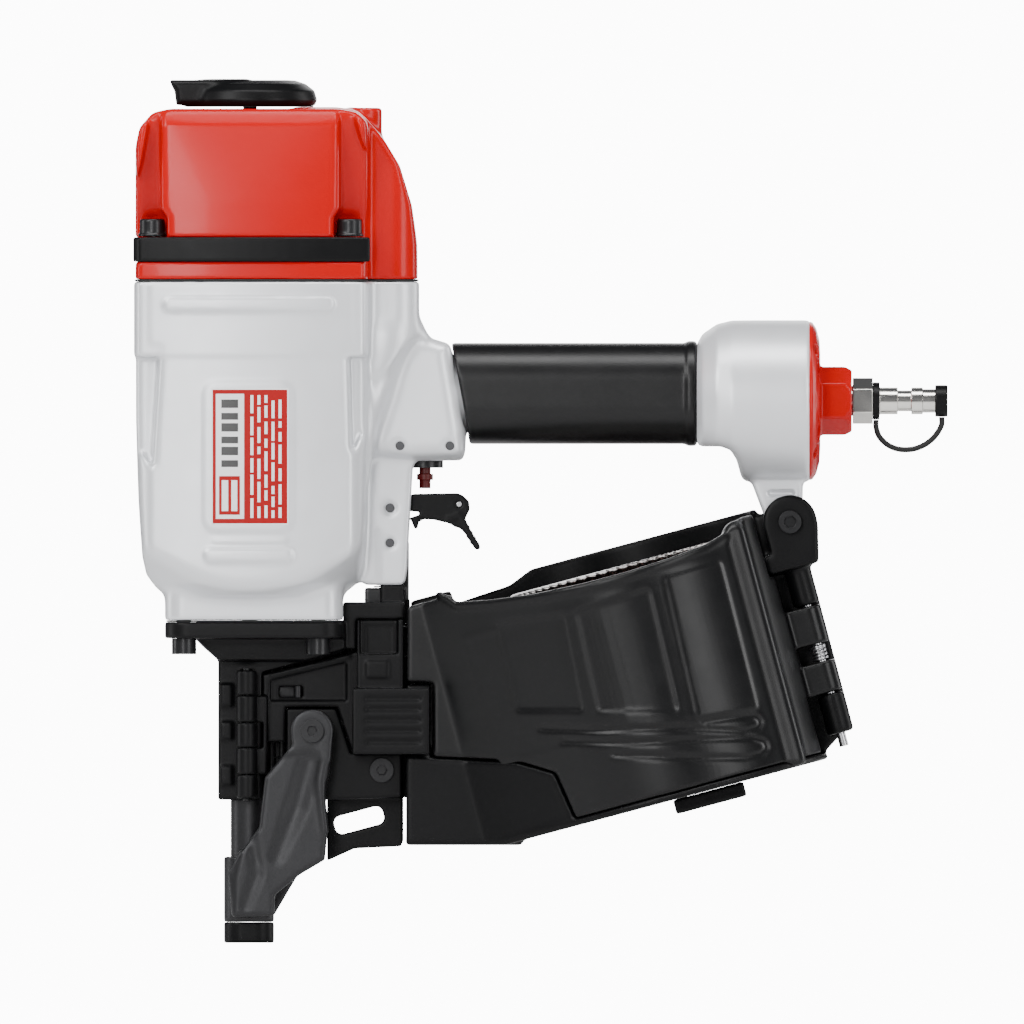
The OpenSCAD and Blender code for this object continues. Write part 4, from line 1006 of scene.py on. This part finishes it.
def make_copy(node, look=None):
    """A small turned or stamped piece as the CAD has it, with broken edges and clean shading."""
    mesh = NODES[node].data.copy()
    bm = bmesh.new()
    bm.from_mesh(mesh)
    bmesh.ops.remove_doubles(bm, verts=bm.verts, dist=1e-6)
    bmesh.ops.dissolve_limit(bm, angle_limit=math.radians(0.5), verts=bm.verts, edges=bm.edges)
    bm.to_mesh(mesh)
    bm.free()
    mesh.shade_smooth()
    mesh.set_sharp_from_angle(angle=math.radians(32))
    mesh.materials.clear()
    mesh.materials.append(MATERIALS[look or SLOT_OF[node]])
    piece = bpy.data.objects.new(node + "_piece", mesh)
    bpy.context.scene.collection.objects.link(piece)
    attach(piece, BODY_OF[node])
    bevel = piece.modifiers.new("edges", "BEVEL")
    bevel.width, bevel.segments, bevel.limit_method = 0.00022, 2, "ANGLE"
    bevel.angle_limit = math.radians(32)
    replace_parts(piece, node)
    return piece


def make_tether():
    """The loop from the ring on the plug to the dust cap, a cord that is left on no body."""
    route = np.array([(275.5, 230.2), (275.5, 227), (276.8, 223), (280, 219.6), (284, 217.6), (288.5, 217),
                      (293, 217.6), (297.5, 219.6), (301.4, 223), (304.2, 227.6), (304.4, 231.4)])
    path = []
    for i in range(len(route) - 1):
        a, b = route[i], route[i + 1]
        before = route[i - 1] if i else 2 * a - b
        after = route[i + 2] if i + 2 < len(route) else 2 * b - a
        for t in np.linspace(0, 1, 7)[:-1]:
            path.append(0.5 * (2 * a + (b - before) * t + (2 * before - 5 * a + 4 * b - after) * t ** 2
                               + (3 * a - before - 3 * b + after) * t ** 3))
    path.append(route[-1])
    path = np.array([(x, 0, z) for x, z in path])
    points, faces = tube(path, 1.25, 12)
    cord = mesh_piece("tether_cord", points, faces, ["dust_cap_tether"], free=True)
    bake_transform(cord)
    return cord


# nodes that only need rounded edges, with the step of their grid
MOULDED = {"contact_tip": 0.45, "dust_cap": 0.3, "magazine_foot": 0.5,
           "nail_guide_plate": 0.45, "contact_arm": 0.45}
LOOKS = {"check_pawl": "black_steel", "door_hinge_pin": "black_steel", "valve_housing": "black_steel",
         "trigger_pin": "pin_steel"}
STRIP_Z = COIL_TOP / math.cos(TILT) - NAIL     # height of the nail points at the driver's axis

make_tether()
make_body()
make_cap()
make_gasket()
make_screws()
make_band()
make_deflector()
make_end_cap()
make_grip()
make_cover()
make_magazine()
make_nose()
make_door()
make_latch()
make_foot()
make_trigger()
make_pins()
make_label()
make_coil()
make_strip()
for moulded, size in MOULDED.items():
    make_moulded(moulded, size)
make_spring("head_valve_spring", "z", 1.4, 5, "head_valve_lift", 1)
make_spring("valve_spring", "z", 0.5, 5, "valve_stem_slide", 1)
make_spring("contact_arm_spring", "z", 0.35, 11, "contact_foot_slide", 1)
make_spring("latch_spring", "z", 0.35, 14, "latch_slide", -1)
make_spring("feed_spring", "x", 0.7, 4, "feed_piston_slide", 1)
make_spring("cover_spring", "z", 0.65, 5, tilted=True)
REPLACED = {n for o in bpy.data.objects for n in o.get("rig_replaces", [])}
for name in NODES:
    if name not in REPLACED:
        make_copy(name, LOOKS.get(name))
